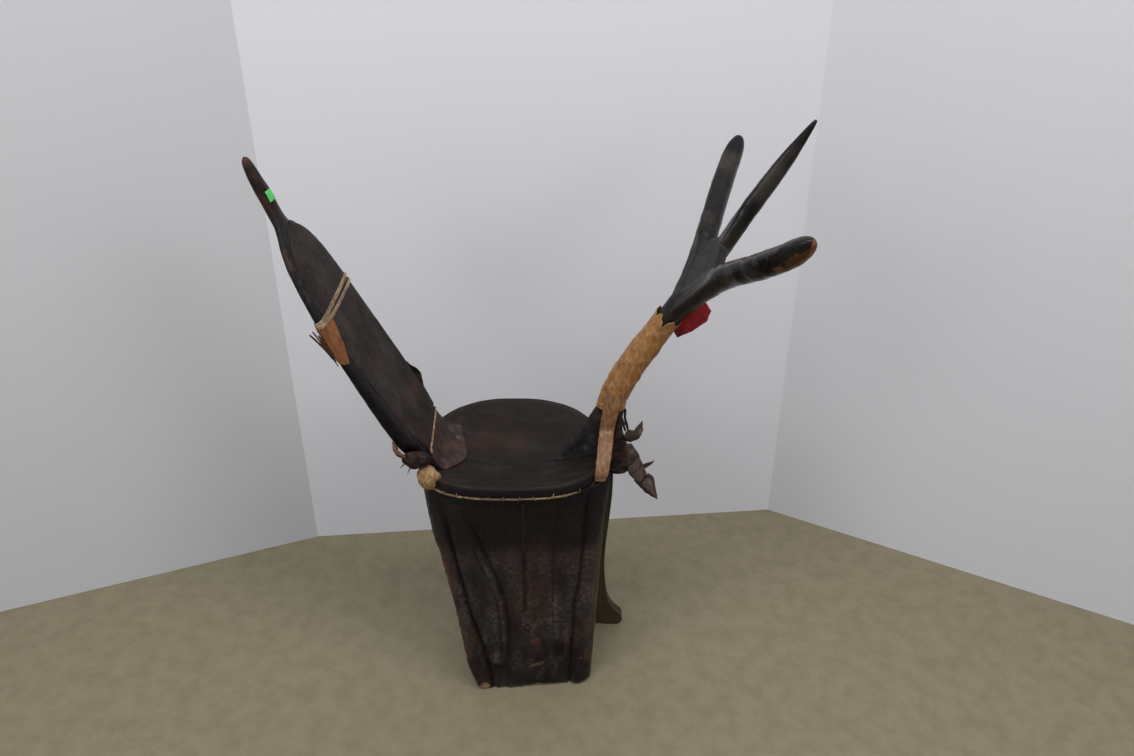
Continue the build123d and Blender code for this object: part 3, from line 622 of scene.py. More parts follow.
def skirt_soot(hand):
    """Painted shade: black in the grooves, in the hollow, down the slit, under the knob at the rear arm's
    foot and under the seat's rim; low down it is also darker in patches.
    """
    seed = 20 if hand == "right" else 40

    def rule(x, y, z):
        wander = 1.6 * ripple(0, 0, z, 34, seed)
        arm_back, arm_front = between(REAR_ARM_BACK, z) + wander, between(REAR_ARM_FRONT, z) + wander
        held = soft(z, 62, 90) * (1 - soft(z, 330, 400))
        soot = 0.95 * bell(x - arm_back + 1, 4.6) * (1 - soft(z, 330, 410))
        soot += 0.9 * bell(x - arm_front - 4, 3.6) * held + 0.7 * bell(x - arm_front + 8, 2.2) * held
        soot += (0.8 * bell(x + 12, 2.6) * soft(z, 178, 190)
                 + 0.75 * bell(x - between(FRONT_ROLL_BACK, z), 4.2))
        soot += 0.5 * bell(x - between(FRONT_ARM_BACK, z) + 3.5, 2.4) * soft(z, 98, 112)
        soot += (math.exp(-((x - 41) / 9) ** 4 - ((z - 84) / 16) ** 4)
                 + 0.9 * math.exp(-((x + 57) / 13) ** 2 - ((z - 59) / 5) ** 2))
        soot += 0.62 * soft(z + 14 * ripple(x, 0, z, 40, seed + 18), 306, 352) + 0.5 * soft(z, 408, 424)
        soot += 0.45 * soft(ripple(x, 0, z / 2.5, 12, seed + 19), 0.1, 0.5) * (1 - soft(z, 60, 200))
        return min(soot, 1)
    return rule


hard_hide = hide(
    "hard_dark_hide", (0.0155, 0.012, 0.0128, 1), (0.085, 0.027, 0.016, 1), (0.14, 0.115, 0.1, 1),
    (60, 60, 9), 0.3, 0.6, 0.65, 0.6, 0.0016,
)
for hand, side in HANDS:
    # Besides dust and wear, each skirt is painted with highlights on its ridges and a lighter middle, and
    # with shade in its grooves and under the rim.
    skirt = skin(f"skirt_hide_{hand}", skirt_rows(hand, side), wear=skirt_wear(hand), dust=skirt_dust_and_light(hand),
                 soot=skirt_soot(hand))
    thicken(skirt, 2 * SKIRT_HALF_THICK, 0.0)
    fit(skirt, hard_hide, "skirt_hide", f"skirt_{hand}")


def on_skirt(x, z, lift=0.0, hand="right"):
    """A point on the outside of a skirt, or `lift` outside it."""
    side = -1 if hand == "right" else 1
    return Vector((x, side * (skirt_out(hand, x, z) + skirt_relief(hand, x, z) + SKIRT_HALF_THICK + lift),
                   z))


# ---------------------------------------------------------------- centre strip, knot and tear
# On the right skirt the edges of two hides meet under a narrow strip. It ends in a knotted
# rosette of thong; lower down a tear is drawn together with a few stitches.
STRIP_LOW, STRIP_LONG, STRIP_X = 187, 238, -12
strip_rows = []
for k in range(121):
    z = STRIP_LOW + STRIP_LONG * k / 120
    middle = STRIP_X + 1.2 * ripple(0, 0, z, 40, 90) + 0.01 * (z - STRIP_LOW)
    half = 3.1 + 0.5 * ripple(0, 0, z, 14, 91)
    strip_rows.append([on_skirt(middle + half * s, z, lift) for s, lift in
                       ((-1, -0.8), (-0.85, 1.0), (-0.5, 1.3), (-0.1, 0.25), (0.1, 0.1), (0.5, 1.4),
                        (0.85, 1.1), (1, -0.8))])
centre_strip = skin("centre_strip", strip_rows, wear=patches(0.3, 8, 92, 0, 0.4),
                    dust=lambda x, y, z: 0.12)
edge_hide = hide(
    "edge_hide", (0.0085, 0.007, 0.007, 1), (0.09, 0.03, 0.017, 1), (0.12, 0.1, 0.085, 1),
    (30, 30, 30), 0.26, 0.5, 0.5, 0.4, 0.001,
)
fit(thicken(centre_strip, 0.6), edge_hide, "edge_leather", "skirt_strip")

KNOT, KNOT_REACH, PETALS = (-9, 152), 8.6, 6
knot_rows = []
for k in range(19):
    sweep = math.pi * 0.5 * k / 18
    row = []
    for turn in turns(72):
        petals = (1 + 0.16 * math.cos(PETALS * turn + 0.6)
                  + 0.12 * ripple(math.cos(turn) * 9, math.sin(turn) * 9, k, 5, 93))
        reach = KNOT_REACH * math.sin(sweep) * (1 + (petals - 1) * math.sin(sweep))
        lift = (4.6 * math.cos(sweep) ** 0.8 - 3.4 * bell(reach, 2.3)
                + 0.9 * math.cos(PETALS * turn + 0.6) * math.sin(sweep) ** 2 - 0.8)
        row.append(on_skirt(KNOT[0] + reach * math.cos(turn), KNOT[1] + 1.1 * reach * math.sin(turn), lift))
    knot_rows.append(row)
knot = skin("rosette_knot", knot_rows, closed=True, wear=lambda x, y, z: 0.25,
            dust=patches(0.5, 3, 94, -0.4, 0.4))
fit(thicken(knot, 0.8), edge_hide, "edge_leather", "skirt_knot")

tail_rows = []
for k in range(17):
    t = k / 16
    x, z, half = -4 + 4.5 * t + 1.5 * math.sin(5 * t), 160 + 26 * t, 2.6 * (1 - 0.55 * t)
    tail_rows.append([on_skirt(x + half * s, z, 1.2 + 2.6 * t * t + 0.8 * (1 - s * s))
                      for s in (-1, -0.5, 0, 0.5, 1)])
tail = skin("rosette_tail", tail_rows, wear=lambda x, y, z: 0.4, dust=lambda x, y, z: 0.4)
fit(thicken(tail, 0.8), edge_hide, "edge_leather", "skirt_knot_tail")

TEAR_STITCHES = 6
stitch_lines = []
for k in range(TEAR_STITCHES):
    x = -5 + 3.6 * k
    z = 54 + 0.25 * x
    stitch_lines.append([on_skirt(x - 1.5, z - 4, -0.6), on_skirt(x - 0.6, z - 2.6, 0.7),
                         on_skirt(x + 0.5, z + 2.4, 0.8), on_skirt(x + 1.6, z + 4.2, -0.6)])
tear_stitches = joined("tear_stitches", [thong(line, 0.55, 8) for line in stitch_lines])
fit(tear_stitches, pale_rawhide, "rawhide")

leg_end_rows = []
for k, (reach, lift) in enumerate(((0.4, 1.6), (3, 1.7), (6, 1.4), (7.4, 0.8), (8.0, -0.8), (8.0, -7))):
    leg_end_rows.append([
        (LEG_END.x + (reach + 0.5 * ripple(m, k, 0, 4, 95)) * math.cos(turn), LEG_END.y + 2 - lift,
         LEG_END.z + (reach + 0.5 * ripple(m, k, 3, 4, 96)) * math.sin(turn))
        for m, turn in enumerate(turns(40))])
leg_end = skin("leg_end_grain", leg_end_rows, closed=True, lids=True)
fit(leg_end, wood("end_grain", (0.42, 0.28, 0.14, 1), (0.14, 0.075, 0.03, 1), (22, 40, 22), 0.9),
    "bare_wood")


# ---------------------------------------------------------------- covered front leg
# The left front leg stands clear of its skirt. It is sewn into olive-brown hide down to the toe.
olive_hide = hide(
    "olive_hide", (0.062, 0.05, 0.027, 1), (0.02, 0.016, 0.012, 1), (0.14, 0.12, 0.085, 1),
    (40, 40, 8), 0.42, 0.68, 0.6, 0.5, 0.0014,
)
covered_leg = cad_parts["leg_front_left"]
covered_leg.data.materials.clear()
covered_leg.data.materials.append(olive_hide)


# ---------------------------------------------------------------- cantle
# The back board is one plank, thick at the foot and thin at the neck, with a round handle carved
# on its end. Black hide is sewn round it, so that its edges are full and glossy.
CANTLE_LEAN, CANTLE_FOOT = math.radians(28.15), (-132.8, 440)
NECK_UP, CANTLE_TIP = 411, 509
# Up the board, half width to the right and left, level of its middle, half its thickness, squareness.
CANTLE_FORM = [
    (-12, 56, 56, -16.8, 16.8, 4.6), (36, 66, 66, -15.5, 15.5, 4.6), (70, 81, 76, -14.7, 14.7, 4.4),
    (110, 87, 79, -13.7, 13.7, 4.2), (177, 89, 80, -12, 12, 4.0), (250, 85, 79, -10.1, 10.1, 3.8),
    (320, 74, 76, -8.3, 8.3, 3.6), (360, 61, 68, -7.3, 7.3, 3.3), (386, 45, 52, -6.8, 6.8, 3.0),
    (402, 28, 30, -6, 7, 2.5), (414, 18.5, 18.5, -4.5, 8, 2.2), (430, 13.5, 13.5, -3, 9, 2.1),
    (460, 11.5, 11.5, 1, 9.5, 2.1), (488, 9, 9, 4, 8, 2.1), (502, 6.4, 6.4, 6, 6, 2.1),
    (507.5, 3.2, 3.2, 7, 3.4, 2), (CANTLE_TIP, 0.8, 0.8, 7.2, 0.8, 2),
]


def glide(table, at):
    """All columns of a table, read off smooth curves through its rows."""
    at = min(max(at, table[0][0]), table[-1][0])
    k = next(n for n in range(1, len(table)) if at <= table[n][0])
    a, b, c, d = table[max(k - 2, 0)], table[k - 1], table[k], table[min(k + 1, len(table) - 1)]
    t = (at - b[0]) / (c[0] - b[0])
    read = []
    for col in range(1, len(b)):
        rise_b = (c[col] - a[col]) / (c[0] - a[0]) * (c[0] - b[0])
        rise_c = (d[col] - b[col]) / (d[0] - b[0]) * (c[0] - b[0])
        read.append((2 * t ** 3 - 3 * t * t + 1) * b[col] + (t ** 3 - 2 * t * t + t) * rise_b
                    + (3 * t * t - 2 * t ** 3) * c[col] + (t ** 3 - t * t) * rise_c)
    return read


def on_cantle(up, front, y):
    """A point up the cantle, in front of its face plane, and y to the left."""
    return Vector((
        CANTLE_FOOT[0] - up * math.sin(CANTLE_LEAN) + front * math.cos(CANTLE_LEAN), y,
        CANTLE_FOOT[1] + up * math.cos(CANTLE_LEAN) + front * math.sin(CANTLE_LEAN)))


def round_cantle(up, turn, lift=0.0):
    """A point on the cantle's skin. turn is in degrees: 0 left edge, 90 face, 180 right edge, 270 back."""
    right, left, middle, deep, square = glide(CANTLE_FORM, up)
    c, s = math.cos(math.radians(turn)), math.sin(math.radians(turn))
    wide = (left if c > 0 else right) + lift
    y = wide * math.copysign(abs(c) ** (2 / square), c)
    return on_cantle(up, middle + (deep + lift) * math.copysign(abs(s) ** (2 / square), s), y)


def cantle_level(up, y, facing=1):
    """How far in front of the face plane the cantle's face is, or its back if facing is -1."""
    right, left, middle, deep, square = glide(CANTLE_FORM, up)
    share = min(abs(y) / (left if y > 0 else right), 1)
    return middle + facing * deep * (1 - share ** square) ** (1 / square)


def cantle_up(x, z):
    """How far up the cantle a point is."""
    return -(x - CANTLE_FOOT[0]) * math.sin(CANTLE_LEAN) + (z - CANTLE_FOOT[1]) * math.cos(CANTLE_LEAN)


CANTLE_BELOW = 12
cantle_rows = []
for k in range(221):
    up = -CANTLE_BELOW + (CANTLE_TIP + CANTLE_BELOW) * (k / 220)
    lumps = 0.55 if up < NECK_UP else 0.3
    cantle_rows.append([
        round_cantle(up, 360 * m / 120,
                     lumps * ripple(up / 2, 0, m, 11, 100) + 0.5 * ripple(up, 0, m / 3, 26, 101))
        for m in range(120)])
cantle_body = skin(
    "cantle_body", cantle_rows, closed=True, lids=True,
    wear=lambda x, y, z: 0.5 * soft(cantle_up(x, z), 415, 440)
    * soft(ripple(x, y, z / 2, 12, 102), -0.3, 0.4)
    + 0.7 * soft(cantle_up(x, z), 492, 506)
    + 0.3 * soft(ripple(x, y, z / 2, 14, 103), 0.15, 0.5) * soft(cantle_up(x, z), 260, 330),
    dust=lambda x, y, z: 0.1 * soft(ripple(x, y, z, 16, 104), 0, 0.5)
    + 0.5 * soft(cantle_up(x, z), 300, 330) * (1 - soft(cantle_up(x, z), 360, 380))
    * soft(-y, 30, 50) * soft(ripple(x * 1.4, y, z / 2, 5, 107), 0.1, 0.4),
    # The edge hide is darker towards the foot of the cantle.
    soot=lambda x, y, z: 0.7 * (1 - soft(cantle_up(x, z), 280, 380)),
)
fit(cantle_body, edge_hide, "edge_leather", "cantle_board", "cantle_edge_left", "cantle_edge_right")

# The face and the back are separate flat hides, sewn to the edge hide all round.
FACE_FORM = [
    (30, 50, 63), (60, 62, 70), (110, 73, 76), (177, 76, 77), (250, 75, 76.5), (320, 65, 74),
    (345, 56, 71), (362, 48, 66), (380, 32, 58), (393, 15, 48), (402, 3, 38), (406, -6, 30),
]
BACK_FORM = [
    (2, 50, 50), (36, 57, 57), (70, 70, 66), (110, 76, 69), (177, 78, 70), (250, 74, 69), (320, 63, 65),
    (360, 49, 55), (384, 32, 37), (398, 12, 14),
]


def cantle_panel(form, facing, lift, seed):
    """A flat hide on the face or back of the cantle, a little proud of it."""
    rows = []
    low, high = form[0][0], form[-1][0]
    for k in range(171):
        t = k / 170
        row = []
        for m in range(81):
            up = low + (high - low) * t
            right, left = glide(form, up)
            y = -right + (right + left) * m / 80
            if facing > 0:
                up += (1 - t) ** 6 * (9 + 0.087 * y)
            rim = min(y + right, left - y)
            rise = lift - 1.1 * (1 - soft(rim, 0, 3)) - 0.5 * bell(rim - 4.5, 1.4)
            rise += 0.35 * ripple(up / 3, y, 0, 6, seed) + 0.5 * ripple(up, y, 0, 34, seed + 1)
            rise += 0.9 * (1 - soft(up, 60, 120)) * ripple(up / 3, y, 0, 9, seed + 2)
            row.append(on_cantle(up, cantle_level(up, y, facing) + facing * max(rise, -0.2), y))
        rows.append(row)
    return rows


flat_hide = hide(
    "flat_hide", (0.0265, 0.0198, 0.0178, 1), (0.062, 0.028, 0.0215, 1), (0.1, 0.088, 0.08, 1),
    (26, 60, 26), 0.52, 0.72, 0.35, 0.35, 0.001, Specular_IOR_Level=0.08,
)
for name, form, facing, node in (("cantle_face", FACE_FORM, 1, "cantle_face_hide"),
                                 ("cantle_back", BACK_FORM, -1, "cantle_back_hide")):
    panel = skin(
        name, cantle_panel(form, facing, 1.5, 105 if facing > 0 else 109),
        wear=lambda x, y, z: 0.45 * soft(ripple(x, y / 1.6, z, 46, 112), -0.15, 0.5)
        * soft(220 - cantle_up(x, z), 0, 110),
        dust=lambda x, y, z: 0.3 * soft(ripple(x, y, z, 30, 113), -0.1, 0.5)
        + 0.4 * soft(60 - cantle_up(x, z), 0, 26) * soft(ripple(x, y, z / 3, 6, 114), 0, 0.4),
    )
    fit(thicken(panel, 1.4), flat_hide, "cantle_leather", node)

# Thread in pairs of short stitches along the back hide's edge.
STITCH_PAIRS, STITCH_STEP, STITCH_IN = 34, 10.6, 4
edge_stitches = []
for side in (-1, 1):
    for k in range(STITCH_PAIRS):
        up = 20 + STITCH_STEP * k
        right, left = glide(BACK_FORM, up)
        y = left - STITCH_IN if side > 0 else STITCH_IN - right
        behind = cantle_level(up, y, -1) - 1.5
        ends = [on_cantle(up + a, behind - b, y + side * a * 0.2)
                for a, b in ((-2.6, -0.8), (-1.6, 0.6), (1.6, 0.6), (2.6, -0.8))]
        edge_stitches.append(thong(ends, 0.55, 7))
fit(joined("back_stitches", edge_stitches), pale_rawhide, "rawhide")


# ---------------------------------------------------------------- band, patch and torn flaps
# Two flat strands of rawhide and a thinner one are wound round the cantle. They hold what is
# left of an outer hide: a patch of its orange inner layer, torn off below, with dark red scraps
# curling away behind it.
BAND_UP = 286
band_bundles = []
STRANDS = ((2.8, 2.5, 3.1), (-3.2, -1.5, 2.6), (-0.5, 6.0, 1.7))  # shift up, slant, half width
STRAND_SECTION = ((-1, -0.6), (-1, 0.5), (-0.55, 1.1), (0, 0.7), (0.55, 1.1), (1, 0.5), (1, -0.6),
                  (0, -0.9))
for strand, (shift, slant, wide) in enumerate(STRANDS):
    rows = []
    for k in range(161):
        turn = 360 * k / 160
        up = (BAND_UP + shift + slant * math.sin(math.radians(turn + 40))
              + 1.2 * ripple(k / 6, 0, 0, 3, 120 + strand))
        half = wide * (1 + 0.22 * ripple(k / 3, 0, 0, 3, 124 + strand))
        rows.append([round_cantle(up + half * a, turn, 1.5 + b + 0.5 * strand) for a, b in STRAND_SECTION])
    band_bundles.append(rows)
band = joined("cantle_wound_band", band_bundles)
band_rawhide = rawhide("band_rawhide", (0.33, 0.225, 0.125, 1), (0.1, 0.052, 0.025, 1), (30, 8, 30), 0.45)
fit(band, band_rawhide, "rawhide", "cantle_band")

# The patch hangs from the band round the right edge; its torn end, as (turn in degrees, how far up).
PATCH_TOP = 284
TORN_END = [(121, 281), (126, 263), (134, 247), (146, 233), (160, 222), (178, 223), (192, 238), (205, 258)]
patch_rows = []
for k in range(45):
    turn = TORN_END[0][0] + (TORN_END[-1][0] - TORN_END[0][0]) * k / 44
    low = between(TORN_END, turn) + 1.6 * ripple(turn / 3, 0, 0, 2.2, 130)
    curl = 0.4 + ripple(turn / 4, 0, 0, 4, 132)
    patch_rows.append([
        round_cantle(PATCH_TOP + (low - PATCH_TOP) * m / 26, turn,
                     2.4 + 0.9 * ripple(turn, 0, m, 9, 131) + 2.4 * (m / 26) ** 3 * curl)
        for m in range(27)])
patch = skin("torn_patch", patch_rows, wear=patches(0.5, 9, 133, 0, 0.5),
             dust=patches(0.3, 6, 134, 0, 0.5))
patch_hide = hide(
    "orange_inner_hide", (0.24, 0.095, 0.034, 1), (0.062, 0.02, 0.01, 1), (0.3, 0.16, 0.08, 1),
    (50, 50, 50), 0.55, 0.78, 0.5, 0.8, 0.0014,
)
fit(thicken(patch, 1.0), patch_hide, "torn_leather", "cantle_patch")

# Top, lower end, turn in degrees, and how far the top and the lower end stand off.
TORN_FLAPS = ((284, 226, 199, 7, 1.2), (283, 238, 206, 11, 1.6), (276, 233, 193, 3.5, 1))
flaps = []
for k, (top, low, turn, out_top, out_low) in enumerate(TORN_FLAPS):
    rows = []
    for m in range(25):
        t = m / 24
        up = top + (low - top) * t
        half = (4.6 + 1.2 * math.sin(3 * t)) * (1 - t ** 6) + 0.8
        lift = 2.2 + out_top * (1 - t) ** 1.4 + out_low * t
        rows.append([round_cantle(up + 0.8 * ripple(m, s, k, 2, 135), turn + half * s,
                                  lift + 1.2 * (1 - s * s) + 0.7 * ripple(m, s * 2, k, 3, 136))
                     for s in (-1, -0.6, -0.2, 0.2, 0.6, 1)])
    flaps.append(skin(f"torn_flap_{k}", rows, wear=lambda x, y, z: 0.5 + 0.4 * ripple(x, y, z, 8, 137),
                      dust=lambda x, y, z: 0.1))
red_scrap_hide = hide(
    "dark_red_scraps", (0.026, 0.011, 0.009, 1), (0.1, 0.022, 0.016, 1), (0.2, 0.13, 0.09, 1),
    (40, 40, 40), 0.5, 0.75, 0.5, 0.7, 0.0012,
)
for flap, nodes in zip(flaps, (["cantle_torn_flap"], [], [])):
    fit(thicken(flap, 0.9), red_scrap_hide, "torn_leather", *nodes)

# A strip of the edge hide has sprung off the left edge above the foot.
sprung_rows = []
for k in range(33):
    t = k / 32
    up = 44 + 80 * t
    lift = (1 + 7.5 * math.sin(math.pi * soft(t, 0.35, 1))
            + 1.4 * ripple(up, 0, 0, 9, 138) * math.sin(math.pi * t))
    sprung_rows.append([round_cantle(up + 1.2 * ripple(k, s, 0, 4, 139), 12 + 17 * s, lift + 1.5 * s)
                        for s in (-1, -0.5, 0, 0.5, 1)])
sprung = skin("sprung_edge", sprung_rows, wear=lambda x, y, z: 0.3 + 0.3 * ripple(x, y, z, 8, 140),
              dust=lambda x, y, z: 0.25)
fit(thicken(sprung, 1.2), edge_hide, "edge_leather")


# ---------------------------------------------------------------- label
# A small blank paper label is stuck on the right of the handle. It is plain green, creased and
# patchily stained darker.
LABEL_UP, LABEL_TALL, LABEL_TURN, LABEL_ROUND = 444, 15, 80, 62
label_rows = []
for k in range(15):
    up = LABEL_UP + LABEL_TALL * k / 14
    label_rows.append([
        round_cantle(up, LABEL_TURN + LABEL_ROUND * m / 20, 0.75 + 0.25 * ripple(up, m, 0, 5, 145))
        for m in range(21)])
label = skin("blank_label", label_rows)


def paper_look(tree):
    spot = put(tree, "TexCoord").outputs["Object"]
    fibres = cloudy(tree, spot, 900.0, 4.0)
    stains = cloudy(tree, spot, 110.0, 4.0)
    colour = tint(tree, spread(tree, stains, 0.5, 0.7, 0.0, 0.55), (0.09, 0.52, 0.12, 1),
                  (0.06, 0.3, 0.07, 1))
    return {"Colour": colour, "Roughness": spread(tree, stains, 0.3, 0.7, 0.5, 0.7), "Height": fibres}


fit(thicken(label, 0.35), finish("green_paper", paper_look, 0.2, 0.0003), "label_paper", "sticker")


# ---------------------------------------------------------------- tongue at the cantle's foot
# A flap of the seat's hide is turned up over the foot of the cantle and sewn to its face hide
# with a pale thong. It ends in a blunt tongue on the seat; its right side is rubbed red.
TONGUE_CORNER, TONGUE_END, TONGUE_POINT = -138, -101, 0.46
tongue_rows = []
for k in range(49):
    t = k / 48
    row = []
    for m in range(65):
        c = m / 64
        across = -53 + 112 * c
        top = on_cantle(34 + 10 * c, cantle_level(38, across) + 2.4, across)
        if c < TONGUE_POINT:
            end_x = TONGUE_END - 27 * ((TONGUE_POINT - c) / TONGUE_POINT) ** 1.5
        else:
            end_x = TONGUE_END - 15 * ((c - TONGUE_POINT) / (1 - TONGUE_POINT)) ** 1.3
        end_y = -50 + 122 * c
        end = Vector((end_x, end_y, seat_height(end_x, end_y) + 1.9 - 1.0 * soft(c, 0.55, 0.8)))
        full = max(math.sin(math.pi * c), 0) ** 0.5
        corner = Vector((TONGUE_CORNER, across, seat_height(TONGUE_CORNER, across) + 2 + 9 * full))
        point = top * (1 - t) ** 2 + corner * 2 * t * (1 - t) + end * t * t
        point.z += (1.1 * ripple(across, t * 40, 0, 13, 150) * math.sin(math.pi * t)
                    + 0.5 * ripple(across, t * 40, 0, 5, 151))
        point.x += 0.9 * ripple(across / 2, t * 30, 0, 6, 152)
        point.z = max(point.z, seat_height(point.x, point.y) + 1.5 - 0.7 * soft(c, 0.55, 0.8))
        row.append(point)
    tongue_rows.append(row)
tongue = skin(
    "foot_tongue", tongue_rows,
    wear=lambda x, y, z: 0.75 * soft(ripple(x, y, z, 24, 153), -0.35, 0.3) * soft(60 - y, 0, 50)
    + 0.5 * soft(z - seat_height(x, y), 12, 3) * soft(ripple(x, y, z, 9, 154), -0.2, 0.4),
    dust=lambda x, y, z: 0.3 * soft(ripple(x, y, z, 14, 155), -0.1, 0.5)
    + 0.8 * (1 - soft(math.hypot(x + 118, y - 40), 2, 5)),
)
tongue_hide = hide(
    "tongue_hide", (0.034, 0.025, 0.022, 1), (0.075, 0.034, 0.025, 1), (0.16, 0.125, 0.105, 1),
    (40, 24, 40), 0.42, 0.66, 0.5, 0.5, 0.0012,
)
fit(thicken(tongue, 1.7), tongue_hide, "edge_leather", "cantle_tongue")

seam_line = []
for k in range(25):
    across = -52 + 106 * k / 24
    front = cantle_level(38, across) + 3.3 + 0.6 * ripple(k, 0, 0, 3, 156)
    seam_line.append(on_cantle(33 + 10.5 * k / 24, front, across))
seam_line[0] += Vector((2, -2, -5))
seam_radii = [1.2 + 0.5 * (k % 3 == 0) for k in range(25)]
fit(joined("tongue_thong", [thong(seam_line, seam_radii, 8, 0.7, 157)]), pale_rawhide, "rawhide")


# ---------------------------------------------------------------- rear lashings
# At each rear corner the cantle, seat and leg are bound with wet rawhide, which has dried into
# a hard pale knot. Above it sits a frayed wad of dark hide round a splinter of bare wood.
def bound_knot(middle, reach, seed, hollow=0.0):
    """A lumpy bound bundle: turns of hide laid over one another."""
    rows = []
    for k in range(41):
        rise = math.pi * (k / 40 - 0.5)
        row = []
        for turn in turns(64):
            way = Vector((math.cos(rise) * math.cos(turn), math.cos(rise) * math.sin(turn), math.sin(rise)))
            laid = abs(math.sin(5 * rise + 1.4 * math.sin(turn + seed) + 0.8 * ripple(*(way * 9), 5, seed)))
            grow = (0.94 + 0.03 * laid ** 0.6 + 0.22 * ripple(*(way * 10), 9, seed + 1)
                    + 0.035 * ripple(*(way * 10), 2.6, seed + 2))
            row.append((middle[0] + reach[0] * way.x * grow, middle[1] + reach[1] * way.y * grow,
                        middle[2] + reach[2] * way.z * grow - hollow * way.x))
        rows.append(row)
    return rows


knot_rawhide = rawhide("knot_rawhide", (0.4, 0.262, 0.115, 1), (0.17, 0.078, 0.028, 1), (60, 60, 20), 0.5,
                       0.7, 0.0016)
wad_hide = hide(
    "wad_hide", (0.012, 0.0075, 0.0065, 1), (0.06, 0.02, 0.014, 1), (0.12, 0.08, 0.055, 1),
    (60, 60, 60), 0.45, 0.75, 0.6, 0.9, 0.0018,
)
splinter_wood = wood("splinter_wood", (0.21, 0.092, 0.038, 1), (0.07, 0.03, 0.014, 1), (20, 60, 20), 0.6,
                     0.7)
SPLINTER_RADII = [3, 5, 8, 7, 9.6, 7.4, 8.6, 5, 3.5]
# Each hand's knot (level, half height), its tail (level, half height) and its wad (middle, reach).
CORNERS = {
    "right": ((443, 20), (436, 7), (-163, -84, 474), (22, 11, 14)),
    "left": ((425, 12), (420, 6), (-176, 66, 457), (10, 10, 10)),
}
for (hand, side), seed in zip(HANDS, (160, 170)):
    (knot_level, knot_half), (tail_level, tail_half), wad_middle, wad_reach = CORNERS[hand]
    lashing = joined(f"corner_lashing_{hand}", [
        bound_knot((-147, side * 86, knot_level), (17, 13, knot_half), seed),
        bound_knot((-134, side * 90, tail_level), (20, 7, tail_half), seed + 3, 5)])
    fit(lashing, knot_rawhide, "rawhide", f"lashing_rear_{hand}")
    shreds = [
        thong([(-168 + a, side * (86 + b), 470 + c), (-172 + a * 1.2, side * (90 + b), 464 + c * 1.2),
               (-176 + a * 1.6, side * (91 + b), 455 + c * 1.6)], [1.9, 1.5, 0.7], 7, 0.5, seed)
        for a, b, c in ((0, 2, 0), (-6, 0, 6)) if hand == "right"]
    wad = joined(f"torn_wad_{hand}", [bound_knot(wad_middle, wad_reach, seed + 6)] + shreds,
                 wear=patches(0.5, 9, 180, -0.2, 0.4), dust=patches(0.35, 5, 181, 0, 0.4))
    fit(wad, wad_hide, "torn_leather", f"cantle_wad_{hand}")
    edge_turn = {"right": 188, "left": -8}[hand]
    splinter = [round_cantle(88 - 5 * k, edge_turn, 3 + 6.5 * math.sin(math.pi * k / 8)) for k in range(9)]
    chip = joined(f"splinter_{hand}", [thong(splinter, SPLINTER_RADII, 12, 0.42, seed + 8)])
    fit(chip, splinter_wood, "bare_wood")


# ---------------------------------------------------------------- pommel fork
# The pommel is carved from one forked branch: a bent neck, a flat palm and three prongs. It is
# blackened and waxed. Hands have worn the right prong's tip and ridge down to brown wood.
FORK_LEAN, FORK_BASE = math.radians(32.1), Vector((197.2, -5, 664.6))
RIDER_SIDE = Vector((-math.cos(FORK_LEAN), 0, math.sin(FORK_LEAN)))
FORK_UP = Vector((math.sin(FORK_LEAN), 0, math.cos(FORK_LEAN)))
# Each prong's middle line: up the fork, how far out, and half the thickness there.
MIDDLE_PRONG = [
    (24, 0, 13), (70, 0, 14.5), (115, 0, 14), (160, 0, 12.2), (205, 0, 11.2), (245, 0, 10.2),
    (272, 0, 8.8), (300, 0, 6), (318, 0, 3.8), (327, 0, 2.2),
]
SIDE_PRONG = [
    (-6, 2, 13), (20, 7, 16), (46, 24, 16.5), (86, 56, 16.5), (118, 91, 16), (155, 145, 15.8),
    (193, 194, 15.2), (212, 213, 13.6), (224, 223, 10.6), (231, 229.5, 6), (233.5, 231.3, 1.8),
]
PRONG_RISE = {-1: 1.03, 1: 0.98}
PRONG_THICK = {-1: 1.04, 1: 0.95}
NECK = [
    (117, -3, 510), (119, -3, 516), (126, -3, 541), (143, -4, 577), (168, -4, 618), (197.2, -5, 664.6),
    (212, -5, 688), (220, -5, 702),
]
NECK_HALF = [
    (15, 18.5), (15, 18.5), (15, 18.5), (15.2, 18.5), (15.5, 17.8), (17, 15.2), (19, 14.5), (18, 12),
]


def on_fork(up, out, toward=0.0):
    return FORK_BASE + FORK_UP * up + Vector((0, out, 0)) + RIDER_SIDE * toward


def carved_rod(points, radii, keel=0.12):
    """Rows of a carved bar: cut flat on the rider's side near the palm, with a soft keel behind."""
    rows = []
    for k, here in enumerate(points):
        run = (points[min(k + 1, len(points) - 1)] - points[max(k - 1, 0)]).normalized()
        across = run.cross(RIDER_SIDE).normalized()
        above = across.cross(run)
        if above.dot(RIDER_SIDE) < 0:
            above = -above
        flat = 0.52 + 0.48 * soft(k / len(points), 0.22, 0.42)
        row = []
        for m, turn in enumerate(turns(40)):
            reach = radii[k] * (1 + keel * max(-math.sin(turn), 0) ** 6)
            reach *= 1 + 0.2 * max(math.sin(turn + 0.3), 0) ** 9 * soft(flat, 0.8, 1)
            if math.sin(turn) > flat:
                reach *= flat / math.sin(turn)
            reach *= (1 + 0.05 * ripple(*here, 14, 190)
                      + 0.03 * ripple(here.x, here.y + 9 * m, here.z, 6, 191))
            row.append(here + across * math.cos(turn) * reach + above * math.sin(turn) * reach)
        rows.append(row)
    return rows


def smooth_line(table, count):
    """Evenly many points along smooth curves through a table's rows."""
    numbered = [(k, *values) for k, values in enumerate(table)]
    return [glide(numbered, (len(table) - 1) * k / (count - 1)) for k in range(count)]


